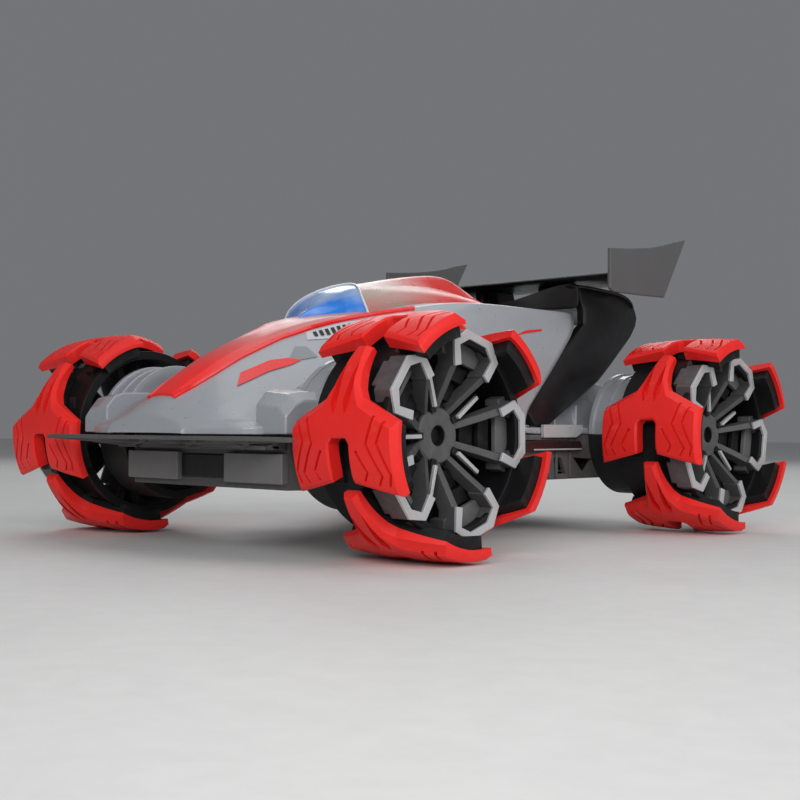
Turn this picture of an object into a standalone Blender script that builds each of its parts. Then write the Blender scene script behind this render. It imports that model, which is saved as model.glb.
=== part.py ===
"""Radio-controlled stunt car with four claw-treaded wheels.

Frame: metres, +Z up, nose towards -Y, the car's left towards +X. The origin is on the ground
under the middle of the car. Dimensions below are millimetres; add_mesh turns them into metres.
"""
import math

import bmesh
import bpy

MM = 0.001
GAP = 0.3

# Overall layout
FRONT_AXLE_Y = -102.0
REAR_AXLE_Y = 116.0
AXLE_Z = 52.0
WHEEL_X = 109.0

# Wheels
TYRE_RADIUS = 52.0
TREAD_HALF_WIDTH = 29.5
TREAD_CROWN_DROP = 1.6
TREAD_SKIN = 3.2
TREADS_PER_WHEEL = 5
# Across half a tread, then the stem's rows as (degrees of turn, taper), and along each wing.
TREAD_COLUMNS = [0.0, 5.5, 9.0, 19.0, TREAD_HALF_WIDTH]
STEM_ROWS = [(-48.0, 0.55), (-36.0, 0.72)]
WING_SHARES = [0.0, 0.12, 0.5, 0.88, 1.0]
WING_LEAD, WING_TRAIL = (-22.9, -10.0), (18.0, 25.0)
TREAD_TURN = 2.0
BARREL_OUTER, BARREL_INNER = 42.4, 38.0
BARREL_X = (86.0, 126.0)
HUB_RADIUS, HUB_X = 11.6, (96.0, 115.6)
FACE_X = 127.5
SPOKE_DEPTH = 8.0
FIN_X, FIN_RADII, FIN_HALF_THICKNESS = (104.0, 118.5), (9.0, 28.0), 1.0
FRONT_SPOKE_PHASE, REAR_SPOKE_PHASE = 1.0, -9.0

# Drive
AXLE_RADIUS = 3.0
AXLE_X = (50.0, 112.0)
GEAR_MODULE = 1.2
AXLE_TEETH, PINION_TEETH = 24, 10
GEAR_X = (70.0, 76.0)
GEAR_BACKLASH = 0.35
CENTRE_DISTANCE = GEAR_MODULE * (AXLE_TEETH + PINION_TEETH) / 2 + GEAR_BACKLASH
MOTOR_ANGLE = -35.0
MOTOR_RADIUS = 9.4
MOTOR_X = (30.0, 57.0)
MOTOR_NOSE_RADIUS = 3.2
SHAFT_RADIUS, SHAFT_HOLE_RADIUS = 1.0, 4.0
HOUSING_RADIUS = 33.0
HOUSING_X = (62.0, 82.0)
HOUSING_WALL = 2.0

# Chassis and body
TRAY_HALF_WIDTH = 61.0
TRAY_Y = (-132.0, 148.0)
TRAY_Z = (28.0, 51.7)
TRAY_WALL = 2.4
TRAY_NOSE_INSET, TRAY_NOSE_LENGTH = 5.0, 12.0
GRIP_HALF_WIDTH, GRIP_DEPTH, GRIP_Z = 17.0, 1.4, (32.0, 43.0)
SIDE_WINDOWS = [
    [(52.5, 30.9), (51.0, 39.4), (58.0, 39.4), (62.0, 30.9)],
    [(68.6, 39.4), (77.8, 31.0), (79.6, 31.0), (87.4, 38.4)],
    [(90.2, 38.0), (92.6, 31.0), (96.0, 31.0), (109.7, 36.0), (109.0, 37.4)],
]
SHELL_SKIN, CANOPY_SKIN = 2.0, 1.6
WINDSHIELD_LIFT, ROOF_LIFT = 3.6, 3.2
SILL_Z = TRAY_Z[1] + GAP + 0.2
BATTERY_BAY_Y = (-44.0, 30.0)
BATTERY_BAY_HALF_WIDTH = 22.0
BATTERY_OUTLINE = [(-18, 31), (18, 31), (20, 33), (20, 46), (18, 48), (-18, 48), (-20, 46), (-20, 33)]
SWITCH_SLOT_X = (-42.0, -36.0)
SWITCH_SLOT_Y = (40.0, 52.0)
SWITCH_KNOB_LENGTH = 6.0
SWITCH_TRAVEL = 4.0
SWITCH_FLANGE_LAP = 2.0
BOARD_X, BOARD_Y, BOARD_Z = (-30.0, 30.0), (38.0, 78.0), (40.0, 41.6)
BUMPER_Z = (45.5, 51.5)
BUMPER_OUTLINE = [
    (-90, -161), (-62, -164), (0, -167.7), (62, -164), (90, -161), (89, -156.5), (76, -155), (60, -147),
    (55, -133), (-55, -133), (-60, -147), (-76, -155), (-89, -156.5),
]
BUMPER_WINDOWS = [
    [(5, -163.5), (26, -162), (5, -150)],
    [(8, -146), (31, -160), (31, -138), (8, -138)],
    [(36, -160.5), (57, -158.5), (52, -146), (36, -143)],
]
DECK_Z = 121.0
WING_HALF_SPAN = 80.7
ENDPLATE_THICKNESS = 2.2
PYLON_X = 21.0
BLADE_X = (50.5, 60.5)
BLADE = [
    (35.5, 59), (62, 59), (95, 79), (118, 88), (141, 105), (146, 116), (141, 130), (118, 134), (84, 134),
    (86, 127), (88, 121),
]
DECK_OUTLINE = [(85, 119.5), (130, 119.5), (138, 117), (138, 121), (85, 123)]
WING_FOIL = [
    (72, 136.6), (92, 136.2), (112, 136.4), (128, 137.4), (128, 139), (110, 139.6), (90, 139.8),
    (72, 138.4),
]
ENDPLATE = [
    (71, 129.8), (74.7, 127.9), (103, 128.1), (125, 128.6), (148, 164), (134.7, 161), (123.4, 158.1),
    (108.7, 155.2), (94.4, 153.4), (80.6, 152.1), (71.3, 151.3),
]
WING_POST = [(100, 124), (116, 124), (113, 135.8), (97, 135.8)]

# Canopy stations: y at the edge, y at the crest, half width, crest height.
WINDSHIELD_STATIONS = [(-76, -75, 8, 112), (-70, -67, 16, 117), (-64, -55, 23, 123.5), (-58, -44, 29, 128)]
ROOF_STATIONS = [
    (-56, -42, 29.5, 128.4), (-40, -30, 31, 130.4), (-20, -12, 32, 134.2), (4, 6, 32.5, 136.8),
    (26, 26, 29, 138), (43, 43, 24, 131.8), (59, 59, 16.5, 127.3), (68, 68, 9, 124.6),
]

# Half sections of the upper body, from the sill up to the centre line: (y, [(x, z), ...]).
BODY_SECTIONS = [
    (-166.8, [(27.6, SILL_Z), (27.6, 52.5), (25, 52.8), (19, 53), (12, 53), (6, 53), (0, 53)]),
    (-165.6, [(28, SILL_Z), (28, 55), (25, 58), (19, 59.5), (12, 60.5), (6, 61), (0, 61)]),
    (-152, [(62, SILL_Z), (61, 57), (52, 61), (36, 64), (18, 67), (6, 70.5), (0, 71)]),
    (-139, [(74, SILL_Z), (73, 61), (57, 66), (36, 68), (18, 74), (6, 77.5), (0, 78)]),
    (-137, [(61, SILL_Z), (61, 58), (53, 63), (37, 68.5), (18, 75), (6, 78.5), (0, 79)]),
    (-118, [(61, SILL_Z), (60, 58), (52, 63), (38, 69), (18, 82), (7, 89), (0, 90)]),
    (-102, [(61, SILL_Z), (60, 60), (52, 65), (38, 73), (20, 88), (8, 96.5), (0, 97.5)]),
    (-75, [(61, SILL_Z), (60.5, 64), (54, 75), (42, 86), (26, 99), (12, 107), (0, 108.5)]),
    (-39, [(61, SILL_Z), (61, 70), (57, 92), (48, 104), (36, 112), (20, 117), (0, 118)]),
    (-2, [(61, SILL_Z), (61, 72), (59, 97), (55, 110), (50, 118), (28, 120), (0, 120.5)]),
]
# The rear edge of the body side leans back, so its points have their own y: (y, x, z).
BODY_REAR_EDGE = [
    (26, 61, SILL_Z), (43, 61, 72), (63.5, 59, 97), (74, 55, 110), (81, 50, 118),
    (82, 28, 120.5), (82, 0, DECK_Z),
]

COLOURS = {
    "tread_red": ((0.72, 0.02, 0.015, 1), 0.35, 0.0),
    "body_silver": ((0.42, 0.44, 0.47, 1), 0.3, 0.5),
    "trim_silver": ((0.7, 0.71, 0.72, 1), 0.25, 0.7),
    "rim_dark": ((0.045, 0.045, 0.05, 1), 0.4, 0.1),
    "chassis_grey": ((0.09, 0.085, 0.085, 1), 0.5, 0.0),
    "fairing_black": ((0.012, 0.012, 0.013, 1), 0.35, 0.0),
    "plate_grey": ((0.1, 0.1, 0.105, 1), 0.5, 0.0),
    "canopy_blue": ((0.1, 0.35, 0.8, 1), 0.1, 0.0),
    "roof_red": ((0.7, 0.15, 0.12, 1), 0.15, 0.0),
    "steel": ((0.55, 0.55, 0.56, 1), 0.3, 1.0),
    "gear_white": ((0.75, 0.74, 0.7, 1), 0.5, 0.0),
    "board_green": ((0.02, 0.15, 0.06, 1), 0.5, 0.0),
    "battery_blue": ((0.03, 0.08, 0.3, 1), 0.4, 0.0),
}


# --- Mesh helpers ---------------------------------------------------------------------------

def clear_scene():
    for obj in list(bpy.data.objects):
        bpy.data.objects.remove(obj, do_unlink=True)


def material(name):
    """The named Principled material, made once."""
    if name in bpy.data.materials:
        return bpy.data.materials[name]
    colour, roughness, metallic = COLOURS[name]
    made = bpy.data.materials.new(name)
    made.use_nodes = True
    shader = made.node_tree.nodes["Principled BSDF"]
    shader.inputs["Base Color"].default_value = colour
    shader.inputs["Roughness"].default_value = roughness
    shader.inputs["Metallic"].default_value = metallic
    made.diffuse_color = colour
    return made


def add_mesh(name, points, faces, finish, parent=None, side=1, smooth=True):
    """A mesh object from millimetre points; side=-1 mirrors it to the car's right."""
    mesh = bpy.data.meshes.new(name)
    mesh.from_pydata([(side * x * MM, y * MM, z * MM) for x, y, z in points], [], faces)
    work = bmesh.new()
    work.from_mesh(mesh)
    bmesh.ops.remove_doubles(work, verts=work.verts, dist=1e-6)
    bmesh.ops.recalc_face_normals(work, faces=work.faces)
    work.to_mesh(mesh)
    work.free()
    obj = bpy.data.objects.new(name, mesh)
    bpy.context.collection.objects.link(obj)
    mesh.materials.append(material(finish))
    obj.parent = parent
    if smooth:
        mesh.shade_smooth()
        mesh.set_sharp_from_angle(angle=math.radians(30))
    return obj


def combine(base, tools, operation):
    """Apply exact Booleans to base one after another, and drop the tools."""
    for tool in tools:
        cut = base.modifiers.new(operation.lower(), "BOOLEAN")
        cut.operation = operation
        cut.object = tool
    return bake(base, tools)


def bake(base, spent=()):
    """Replace the mesh with its evaluated result, and drop the objects it was made from."""
    graph = bpy.context.evaluated_depsgraph_get()
    made = bpy.data.meshes.new_from_object(base.evaluated_get(graph))
    base.modifiers.clear()
    base.data = made
    for tool in spent:
        bpy.data.objects.remove(tool, do_unlink=True)
    return base


def prism(name, outline, span, finish, axis="x", parent=None, side=1):
    """An outline swept along an axis from span[0] to span[1].

    The outline's points are (y, z) for axis x, (x, z) for axis y and (x, y) for axis z.
    """
    place = {
        "x": lambda u, v, s: (s, u, v),
        "y": lambda u, v, s: (u, s, v),
        "z": lambda u, v, s: (u, v, s),
    }[axis]
    count = len(outline)
    points = [place(u, v, s) for s in span for u, v in outline]
    faces = [tuple(range(count)), tuple(range(2 * count - 1, count - 1, -1))]
    for i in range(count):
        j = (i + 1) % count
        faces.append((i, j, count + j, count + i))
    return add_mesh(name, points, faces, finish, parent, side)


def box(name, xs, ys, zs, finish, parent=None, side=1):
    outline = [(xs[0], ys[0]), (xs[1], ys[0]), (xs[1], ys[1]), (xs[0], ys[1])]
    return prism(name, outline, zs, finish, "z", parent, side)


def circle(radius, steps, centre=(0.0, 0.0)):
    turns = [2 * math.pi * i / steps for i in range(steps)]
    return [(centre[0] + radius * math.cos(a), centre[1] + radius * math.sin(a)) for a in turns]


def disc(name, radius, span, finish, parent=None, side=1, steps=24, centre=(0.0, 0.0)):
    return prism(name, circle(radius, steps, centre), span, finish, "x", parent, side)


def turned(name, profile, finish, parent=None, side=1, steps=32):
    """A ring turned about the X axis from a closed profile of (x, radius) points."""
    count = len(profile)
    points = []
    for i in range(steps):
        turn = 2 * math.pi * i / steps
        points += [(x, r * math.cos(turn), r * math.sin(turn)) for x, r in profile]
    faces = []
    for i in range(steps):
        ahead = (i + 1) % steps
        for j in range(count):
            k = (j + 1) % count
            faces.append((i * count + j, i * count + k, ahead * count + k, ahead * count + j))
    return add_mesh(name, points, faces, finish, parent, side)


def closed_shell(outer, inner, quads):
    """Two matching sheets joined by walls round their border."""
    count = len(outer)
    faces = [tuple(quad) for quad in quads]
    faces += [tuple(count + i for i in reversed(quad)) for quad in quads]
    directed = {}
    for quad in quads:
        for a, b in zip(quad, quad[1:] + quad[:1]):
            directed[(a, b)] = True
    for a, b in directed:
        if (b, a) not in directed:
            faces.append((b, a, count + a, count + b))
    return outer + inner, faces


def sheet(name, rows, skin, finish):
    """A panel skinned over rows of points, thickened inwards."""
    width = len(rows[0])
    points = [point for row in rows for point in row]
    quads = []
    for i in range(len(rows) - 1):
        for j in range(width - 1):
            a = i * width + j
            quads.append((a, a + 1, a + width + 1, a + width))
    obj = add_mesh(name, points, quads, finish)
    middle_normal = obj.data.polygons[len(quads) // 2].normal
    thick = obj.modifiers.new("skin", "SOLIDIFY")
    thick.thickness = skin * MM
    thick.offset = -1 if middle_normal.z > 0 else 1
    thick.use_even_offset = True
    return bake(obj)


# --- Wheels ---------------------------------------------------------------------------------

def tread_grid():
    """Columns across half a tread, and its rows along the turn, as {(column, row): (angle, w)}.

    The claw is a stem that runs ahead of a pair of wings with a notch between their tails.
    """
    cells = {}
    for row, (angle, taper) in enumerate(STEM_ROWS):
        for column in range(3):
            cells[(column, row)] = (angle, TREAD_COLUMNS[column] * taper)
    shoulder, span = TREAD_COLUMNS[1], TREAD_HALF_WIDTH - TREAD_COLUMNS[1]
    for step, share in enumerate(WING_SHARES):
        for column, w in enumerate(TREAD_COLUMNS):
            outwards = max(0.0, (w - shoulder) / span)
            lead = WING_LEAD[0] + (WING_LEAD[1] - WING_LEAD[0]) * outwards
            trail = WING_TRAIL[0] + (WING_TRAIL[1] - WING_TRAIL[0]) * outwards
            cells[(column, len(STEM_ROWS) + step)] = (lead + share * (trail - lead), w)
    return cells, len(STEM_ROWS)


def tread_quads(stem_rows):
    """Cells of half the tread as (column, row) corners; the centre stops at the notch."""
    notch_row = stem_rows + len(WING_SHARES) // 2
    last_row = stem_rows + len(WING_SHARES) - 1
    quads = []
    for row in range(last_row):
        for column in range(4):
            in_stem = row < stem_rows and column < 2
            in_wing = row >= stem_rows and (column > 0 or row < notch_row)
            if in_stem or in_wing:
                quads.append((column, row))
    return quads


def tread_floor(row, stem_rows, outer_radius):
    """The underside: a thin skin, folded down to the barrel at the wings' ends."""
    folded = row - stem_rows in (0, len(WING_SHARES) - 1)
    return BARREL_OUTER + 0.5 if folded else outer_radius - TREAD_SKIN


def add_tread(name, angle, parent, side):
    cells, stem_rows = tread_grid()
    outer, inner, index = [], [], {}
    for mirror in (1, -1):
        for (column, row), (turn, w) in cells.items():
            if mirror < 0 and column == 0:
                index[(0, row, -1)] = index[(0, row, 1)]
                continue
            radius = TYRE_RADIUS - TREAD_CROWN_DROP * (w / TREAD_HALF_WIDTH) ** 2
            floor = tread_floor(row, stem_rows, radius)
            a = math.radians(angle + turn)
            index[(column, row, mirror)] = len(outer)
            outer.append((mirror * w, radius * math.cos(a), radius * math.sin(a)))
            inner.append((mirror * w, floor * math.cos(a), floor * math.sin(a)))
    quads = []
    for mirror in (1, -1):
        for column, row in tread_quads(stem_rows):
            corners = [(column, row), (column + 1, row), (column + 1, row + 1), (column, row + 1)]
            quads.append([index[(c, r, mirror)] for c, r in corners][::mirror])
    used = sorted({i for quad in quads for i in quad})
    renumber = {old: new for new, old in enumerate(used)}
    quads = [tuple(renumber[i] for i in quad) for quad in quads]
    points, faces = closed_shell([outer[i] for i in used], [inner[i] for i in used], quads)
    return add_mesh(name, points, faces, "tread_red", parent, side)


def spoke(angle, parent, side):
    """One petal: box sections along its radius, sloping in to the hub."""
    sections = [(9.0, 4.4, HUB_X[1] - 0.6), (27.5, 10.0, FACE_X), (36.0, 13.6, FACE_X), (41.5, 8.0, FACE_X)]
    turn = math.radians(angle)
    points = []
    for radius, half, front in sections:
        back = front - SPOKE_DEPTH
        for w, x in ((-half, front), (half, front), (half, back), (-half, back)):
            y = radius * math.cos(turn) - w * math.sin(turn)
            z = radius * math.sin(turn) + w * math.cos(turn)
            points.append((x - WHEEL_X, y, z))
    faces = [(3, 2, 1, 0), (12, 13, 14, 15)]
    for i in range(len(sections) - 1):
        for j in range(4):
            k = (j + 1) % 4
            faces.append((4 * i + j, 4 * i + k, 4 * i + 4 + k, 4 * i + 4 + j))
    return add_mesh("spoke_tool", points, faces, "rim_dark", parent, side, smooth=False)


def fin(angle, parent, side):
    """A thin radial fin on the hub, half way between two spokes."""
    turn = math.radians(angle)
    inner, outer = FIN_RADII
    half = FIN_HALF_THICKNESS
    points = []
    for x in FIN_X:
        for radius, w in ((inner, -half), (outer, -half), (outer, half), (inner, half)):
            y = radius * math.cos(turn) - w * math.sin(turn)
            z = radius * math.sin(turn) + w * math.cos(turn)
            points.append((x - WHEEL_X, y, z))
    faces = [(0, 1, 2, 3), (7, 6, 5, 4)] + [(i, (i + 1) % 4, 4 + (i + 1) % 4, 4 + i) for i in range(4)]
    return add_mesh("fin_tool", points, faces, "rim_dark", parent, side, smooth=False)


def add_rim(name, phase, parent, side):
    lo, hi = (x - WHEEL_X for x in BARREL_X)
    profile = [(lo, BARREL_INNER), (hi, BARREL_INNER), (hi, BARREL_OUTER), (lo, BARREL_OUTER)]
    rim = turned(name, profile, "rim_dark", parent, side, steps=30)
    hub_lo, hub_hi = (x - WHEEL_X for x in HUB_X)
    hub = disc("hub_tool", HUB_RADIUS, (hub_lo, hub_hi), "rim_dark", parent, side, steps=20)
    pitch = 360.0 / TREADS_PER_WHEEL
    spokes = [spoke(phase + pitch * k, parent, side) for k in range(TREADS_PER_WHEEL)]
    fins = [fin(phase + pitch * (k + 0.5), parent, side) for k in range(TREADS_PER_WHEEL)]
    combine(rim, [hub] + spokes + fins, "UNION")
    bore_span = (hub_lo - 5, hub_hi + 5)
    bore = disc("bore_tool", AXLE_RADIUS + GAP, bore_span, "rim_dark", parent, side, steps=16)
    return combine(rim, [bore], "DIFFERENCE")


def gear_outline(teeth, phase):
    """Straight-flanked teeth round the pitch circle, one of them centred on phase (degrees)."""
    pitch_radius = GEAR_MODULE * teeth / 2
    root, tip = pitch_radius - 1.25 * GEAR_MODULE, pitch_radius + 0.85 * GEAR_MODULE
    half_pitch = math.pi * GEAR_MODULE / 4 - GEAR_BACKLASH / 2
    points = []
    for tooth in range(teeth):
        centre = math.radians(phase) + 2 * math.pi * tooth / teeth
        for radius, side in ((root, -1), (tip, -1), (tip, 1), (root, 1)):
            half = half_pitch + (pitch_radius - radius) * math.tan(math.radians(22))
            points.append((radius, centre + side * half / radius))
    return [(r * math.cos(a), r * math.sin(a)) for r, a in points]


def shaft_angle(axle_y):
    """The direction from an axle to its motor's shaft, in degrees: towards the car's middle."""
    return MOTOR_ANGLE if axle_y < 0 else 180.0 - MOTOR_ANGLE


def shaft_centre(axle_y):
    turn = math.radians(shaft_angle(axle_y))
    return axle_y + CENTRE_DISTANCE * math.cos(turn), AXLE_Z + CENTRE_DISTANCE * math.sin(turn)


def add_gear(name, teeth, phase, bore_radius, parent, side):
    lo, hi = (x - WHEEL_X for x in GEAR_X)
    gear = prism(name, gear_outline(teeth, phase), (lo, hi), "gear_white", "x", parent, side)
    bore = disc("bore_tool", bore_radius, (lo - 2, hi + 2), "gear_white", parent, side, steps=16)
    return combine(gear, [bore], "DIFFERENCE")


def add_pinion(name, phase, parent, side):
    """The pinion and its shaft, which runs in the nose of the motor."""
    lo, hi = (x - WHEEL_X for x in GEAR_X)
    pinion = prism(name, gear_outline(PINION_TEETH, phase), (lo, hi), "steel", "x", parent, side)
    start = MOTOR_X[1] - 4.0 - WHEEL_X
    shaft = disc("shaft_tool", SHAFT_RADIUS, (start, hi + 1.5), "steel", parent, side, steps=12)
    return combine(pinion, [shaft], "UNION")


def add_motor(name, centre, side):
    nose_span = (MOTOR_X[1] - 1, MOTOR_X[1] + 1.2)
    nose = disc("nose_tool", MOTOR_NOSE_RADIUS, nose_span, "steel", None, side, 16, centre)
    can = disc(name, MOTOR_RADIUS, MOTOR_X, "steel", None, side, 24, centre)
    combine(can, [nose], "UNION")
    bearing_span = (MOTOR_X[1] - 4.5, MOTOR_X[1] + 3)
    bearing = disc("bearing_tool", SHAFT_RADIUS + GAP, bearing_span, "steel", None, side, 12, centre)
    return combine(can, [bearing], "DIFFERENCE")


def add_housing(name, axle_y, side):
    """A drum round the gears, open towards the chassis, with the axle's hole in its face."""
    centre = (axle_y, AXLE_Z)
    drum = disc(name, HOUSING_RADIUS, HOUSING_X, "body_silver", None, side, 32, centre)
    hollow_span = (HOUSING_X[0] - 2, HOUSING_X[1] - HOUSING_WALL)
    inside = HOUSING_RADIUS - HOUSING_WALL
    hollow = disc("hollow_tool", inside, hollow_span, "body_silver", None, side, 32, centre)
    hole_span = (HOUSING_X[1] - 5, HOUSING_X[1] + 5)
    hole = disc("hole_tool", AXLE_RADIUS + 2 * GAP, hole_span, "body_silver", None, side, 16, centre)
    return combine(drum, [hollow, hole], "DIFFERENCE")


def pivot(name, x, y, z):
    empty = bpy.data.objects.new(name, None)
    empty.location = (x * MM, y * MM, z * MM)
    bpy.context.collection.objects.link(empty)
    return empty


def add_corner(place, axle_y, side):
    """One wheel with its tread claws, axle, gears, motor and drum housing."""
    spoke_phase = FRONT_SPOKE_PHASE if axle_y < 0 else REAR_SPOKE_PHASE
    axis = pivot("axis_" + place, side * WHEEL_X, axle_y, AXLE_Z)
    add_rim("rim_" + place, spoke_phase, axis, side)
    pitch = 360.0 / TREADS_PER_WHEEL
    for k in range(TREADS_PER_WHEEL):
        add_tread(f"tread_{place}_{k + 1}", spoke_phase + pitch * (k + 0.5) + TREAD_TURN, axis, side)
    axle_span = tuple(x - WHEEL_X for x in AXLE_X)
    disc("axle_" + place, AXLE_RADIUS, axle_span, "steel", axis, side, steps=20)
    towards = shaft_angle(axle_y)
    add_gear("axle_gear_" + place, AXLE_TEETH, towards, AXLE_RADIUS + GAP, axis, side)
    motor_y, motor_z = shaft_centre(axle_y)
    pinion_axis = pivot("axis_pinion_" + place, side * WHEEL_X, motor_y, motor_z)
    add_pinion("pinion_" + place, towards + 180.0 + 180.0 / PINION_TEETH, pinion_axis, side)
    add_motor("motor_" + place, (motor_y, motor_z), side)
    add_housing("gearbox_" + place, axle_y, side)


# --- Chassis --------------------------------------------------------------------------------

def holes_through(radius, centre_of, steps):
    """Cutters through both side walls, one for each of the four corners."""
    span = (TRAY_HALF_WIDTH - 14, TRAY_HALF_WIDTH + 3)
    tools = []
    for side in (1, -1):
        for axle_y in (FRONT_AXLE_Y, REAR_AXLE_Y):
            tools.append(disc("cut", radius, span, "steel", None, side, steps, centre_of(axle_y)))
    return tools


def axle_holes():
    return holes_through(AXLE_RADIUS + 2 * GAP, lambda axle_y: (axle_y, AXLE_Z), 20)


def shaft_holes():
    return holes_through(SHAFT_HOLE_RADIUS, shaft_centre, 16)


def tray_outline(inwards):
    """The tray seen from above, with its nose narrowed, moved inwards by a distance."""
    half, front, rear = TRAY_HALF_WIDTH - inwards, TRAY_Y[0] + inwards, TRAY_Y[1] - inwards
    nose_half = half - TRAY_NOSE_INSET
    taper_end = TRAY_Y[0] + TRAY_NOSE_LENGTH
    return [(-nose_half, front), (nose_half, front), (half, taper_end), (half, rear), (-half, rear),
            (-half, taper_end)]


def add_tray():
    """The open-topped chassis, with the battery bay, the switch slot and side windows cut in."""
    tray = prism("chassis_tray", tray_outline(0.0), TRAY_Z, "chassis_grey", "z")
    hollow_z = (TRAY_Z[0] + TRAY_WALL, TRAY_Z[1] + 5)
    hollow = prism("cut", tray_outline(TRAY_WALL), hollow_z, "chassis_grey", "z")
    through_floor = (TRAY_Z[0] - 5, TRAY_Z[0] + 8)
    bay_half = BATTERY_BAY_HALF_WIDTH
    bay = box("cut", (-bay_half, bay_half), BATTERY_BAY_Y, through_floor, "chassis_grey")
    slot = box("cut", SWITCH_SLOT_X, SWITCH_SLOT_Y, through_floor, "chassis_grey")
    grip_y = (TRAY_Y[0] - 5, TRAY_Y[0] + GRIP_DEPTH)
    grip = box("cut", (-GRIP_HALF_WIDTH, GRIP_HALF_WIDTH), grip_y, GRIP_Z, "chassis_grey")
    through_walls = (-TRAY_HALF_WIDTH - 5, TRAY_HALF_WIDTH + 5)
    windows = [prism("cut", outline, through_walls, "chassis_grey", "x") for outline in SIDE_WINDOWS]
    return combine(tray, [hollow, bay, slot, grip] + windows + axle_holes() + shaft_holes(), "DIFFERENCE")


def add_switch():
    """The sliding power switch: a knob through the slot in the floor, and its flange above it."""
    knob_start = (sum(SWITCH_SLOT_Y) - SWITCH_KNOB_LENGTH - SWITCH_TRAVEL) / 2
    knob_y = (knob_start, knob_start + SWITCH_KNOB_LENGTH)
    knob_x = (SWITCH_SLOT_X[0] + 0.5, SWITCH_SLOT_X[1] - 0.5)
    knob = box("power_switch", knob_x, knob_y, (TRAY_Z[0] - 1.2, TRAY_Z[0] + 4), "plate_grey")
    floor_top, lap = TRAY_Z[0] + TRAY_WALL, SWITCH_FLANGE_LAP
    flange_x = (SWITCH_SLOT_X[0] - lap, SWITCH_SLOT_X[1] + lap)
    flange_y = (knob_y[0] - lap, knob_y[1] + lap)
    flange = box("flange_tool", flange_x, flange_y, (floor_top + GAP, floor_top + 2), "plate_grey")
    return combine(knob, [flange], "UNION")


def add_power():
    """The battery, its cover in the floor, and the receiver board."""
    half, gap = BATTERY_BAY_HALF_WIDTH, 2 * GAP
    cover_y = (BATTERY_BAY_Y[0] + gap, BATTERY_BAY_Y[1] - gap)
    box("battery_cover", (-half + gap, half - gap), cover_y, (TRAY_Z[0], TRAY_Z[0] + 2.2), "chassis_grey")
    pack_y = (BATTERY_BAY_Y[0] + 2, BATTERY_BAY_Y[1] - 2)
    prism("battery_pack", BATTERY_OUTLINE, pack_y, "battery_blue", "y")
    board = box("circuit_board", BOARD_X, BOARD_Y, BOARD_Z, "board_green")
    chip = box("chip_tool", (-8, 6), (50, 64), (BOARD_Z[0] + 1, BOARD_Z[1] + 2), "board_green")
    post = box("post_tool", (-3, 3), (70, 75), (TRAY_Z[0] + TRAY_WALL + GAP, BOARD_Z[0] + 1), "board_green")
    combine(board, [chip, post], "UNION")


def add_bumper():
    """A thin swept truss ahead of the chassis."""
    bumper = prism("front_bumper", BUMPER_OUTLINE, BUMPER_Z, "chassis_grey", "z")
    through = (BUMPER_Z[0] - 3, BUMPER_Z[1] + 3)
    tools = []
    for side in (1, -1):
        for corners in BUMPER_WINDOWS:
            outline = [(side * x, y) for x, y in corners]
            tools.append(prism("cut", outline, through, "chassis_grey", "z"))
    return combine(bumper, tools, "DIFFERENCE")


# --- Upper body -----------------------------------------------------------------------------

def mirrored(half):
    """A full row of (x, y, z) points from a half row that ends on the centre line."""
    return half + [(-x, y, z) for x, y, z in reversed(half[:-1])]


def body_rows():
    rows = [mirrored([(x, y, z) for x, z in half]) for y, half in BODY_SECTIONS]
    rows.append(mirrored([(x, y, z) for y, x, z in BODY_REAR_EDGE]))
    return rows


def section_height(half, x):
    """The height of a body section above a given x."""
    for (x_out, z_out), (x_in, z_in) in zip(half, half[1:]):
        if x_in <= x <= x_out:
            return z_in + (z_out - z_in) * (x - x_in) / (x_out - x_in)
    return half[0][1]


def body_height(x, y):
    sections = BODY_SECTIONS + [(82, [(px, pz) for _, px, pz in BODY_REAR_EDGE])]
    for (y0, half0), (y1, half1) in zip(sections, sections[1:]):
        if y0 <= y <= y1:
            share = (y - y0) / (y1 - y0)
            return section_height(half0, x) * (1 - share) + section_height(half1, x) * share
    return DECK_Z


def add_body():
    shell = sheet("body_shell", body_rows(), SHELL_SKIN, "body_silver")
    combine(shell, axle_holes(), "DIFFERENCE")
    spine_rows = []
    for row in body_rows()[2:8]:
        middle = len(row) // 2
        spine_rows.append([(x, y, z + 2.2) for x, y, z in row[middle - 1:middle + 2]])
    sheet("nose_spine", spine_rows, 1.5, "tread_red")


def dome(name, stations, lift, finish):
    """A bubble held over the body, open underneath, through leaning arches."""
    steps = 8
    rows = []
    for edge_y, crest_y, half, crest_z in stations:
        edge_z = body_height(half, edge_y) + lift
        row = []
        for i in range(steps + 1):
            turn = math.pi * i / steps
            rise = math.sin(turn)
            y = edge_y + (crest_y - edge_y) * rise
            row.append((half * math.cos(turn), y, edge_z + (crest_z - edge_z) * rise))
        rows.append(row)
    return sheet(name, rows, CANOPY_SKIN, finish)


def add_canopy():
    dome("windshield", WINDSHIELD_STATIONS, WINDSHIELD_LIFT, "canopy_blue")
    dome("roof_cover", ROOF_STATIONS, ROOF_LIFT, "roof_red")


def add_rear_cover():
    """The lower rear cover over the rear gearboxes, with a flange along the sill."""
    stations = [(30, 58, 60), (50, 60, 62), (76, 68, 70), (100, 82, 84), (136, 82, 84), (147, 66, 68)]
    rows = []
    for y, shoulder, crown in stations:
        half = [(61, SILL_Z), (61, 55.5), (49, 56.2), (48, shoulder), (36, crown), (0, crown)]
        rows.append(mirrored([(x, y, z) for x, z in half]))
    cover = sheet("rear_cover", rows, SHELL_SKIN, "body_silver")
    return combine(cover, axle_holes(), "DIFFERENCE")


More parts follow.
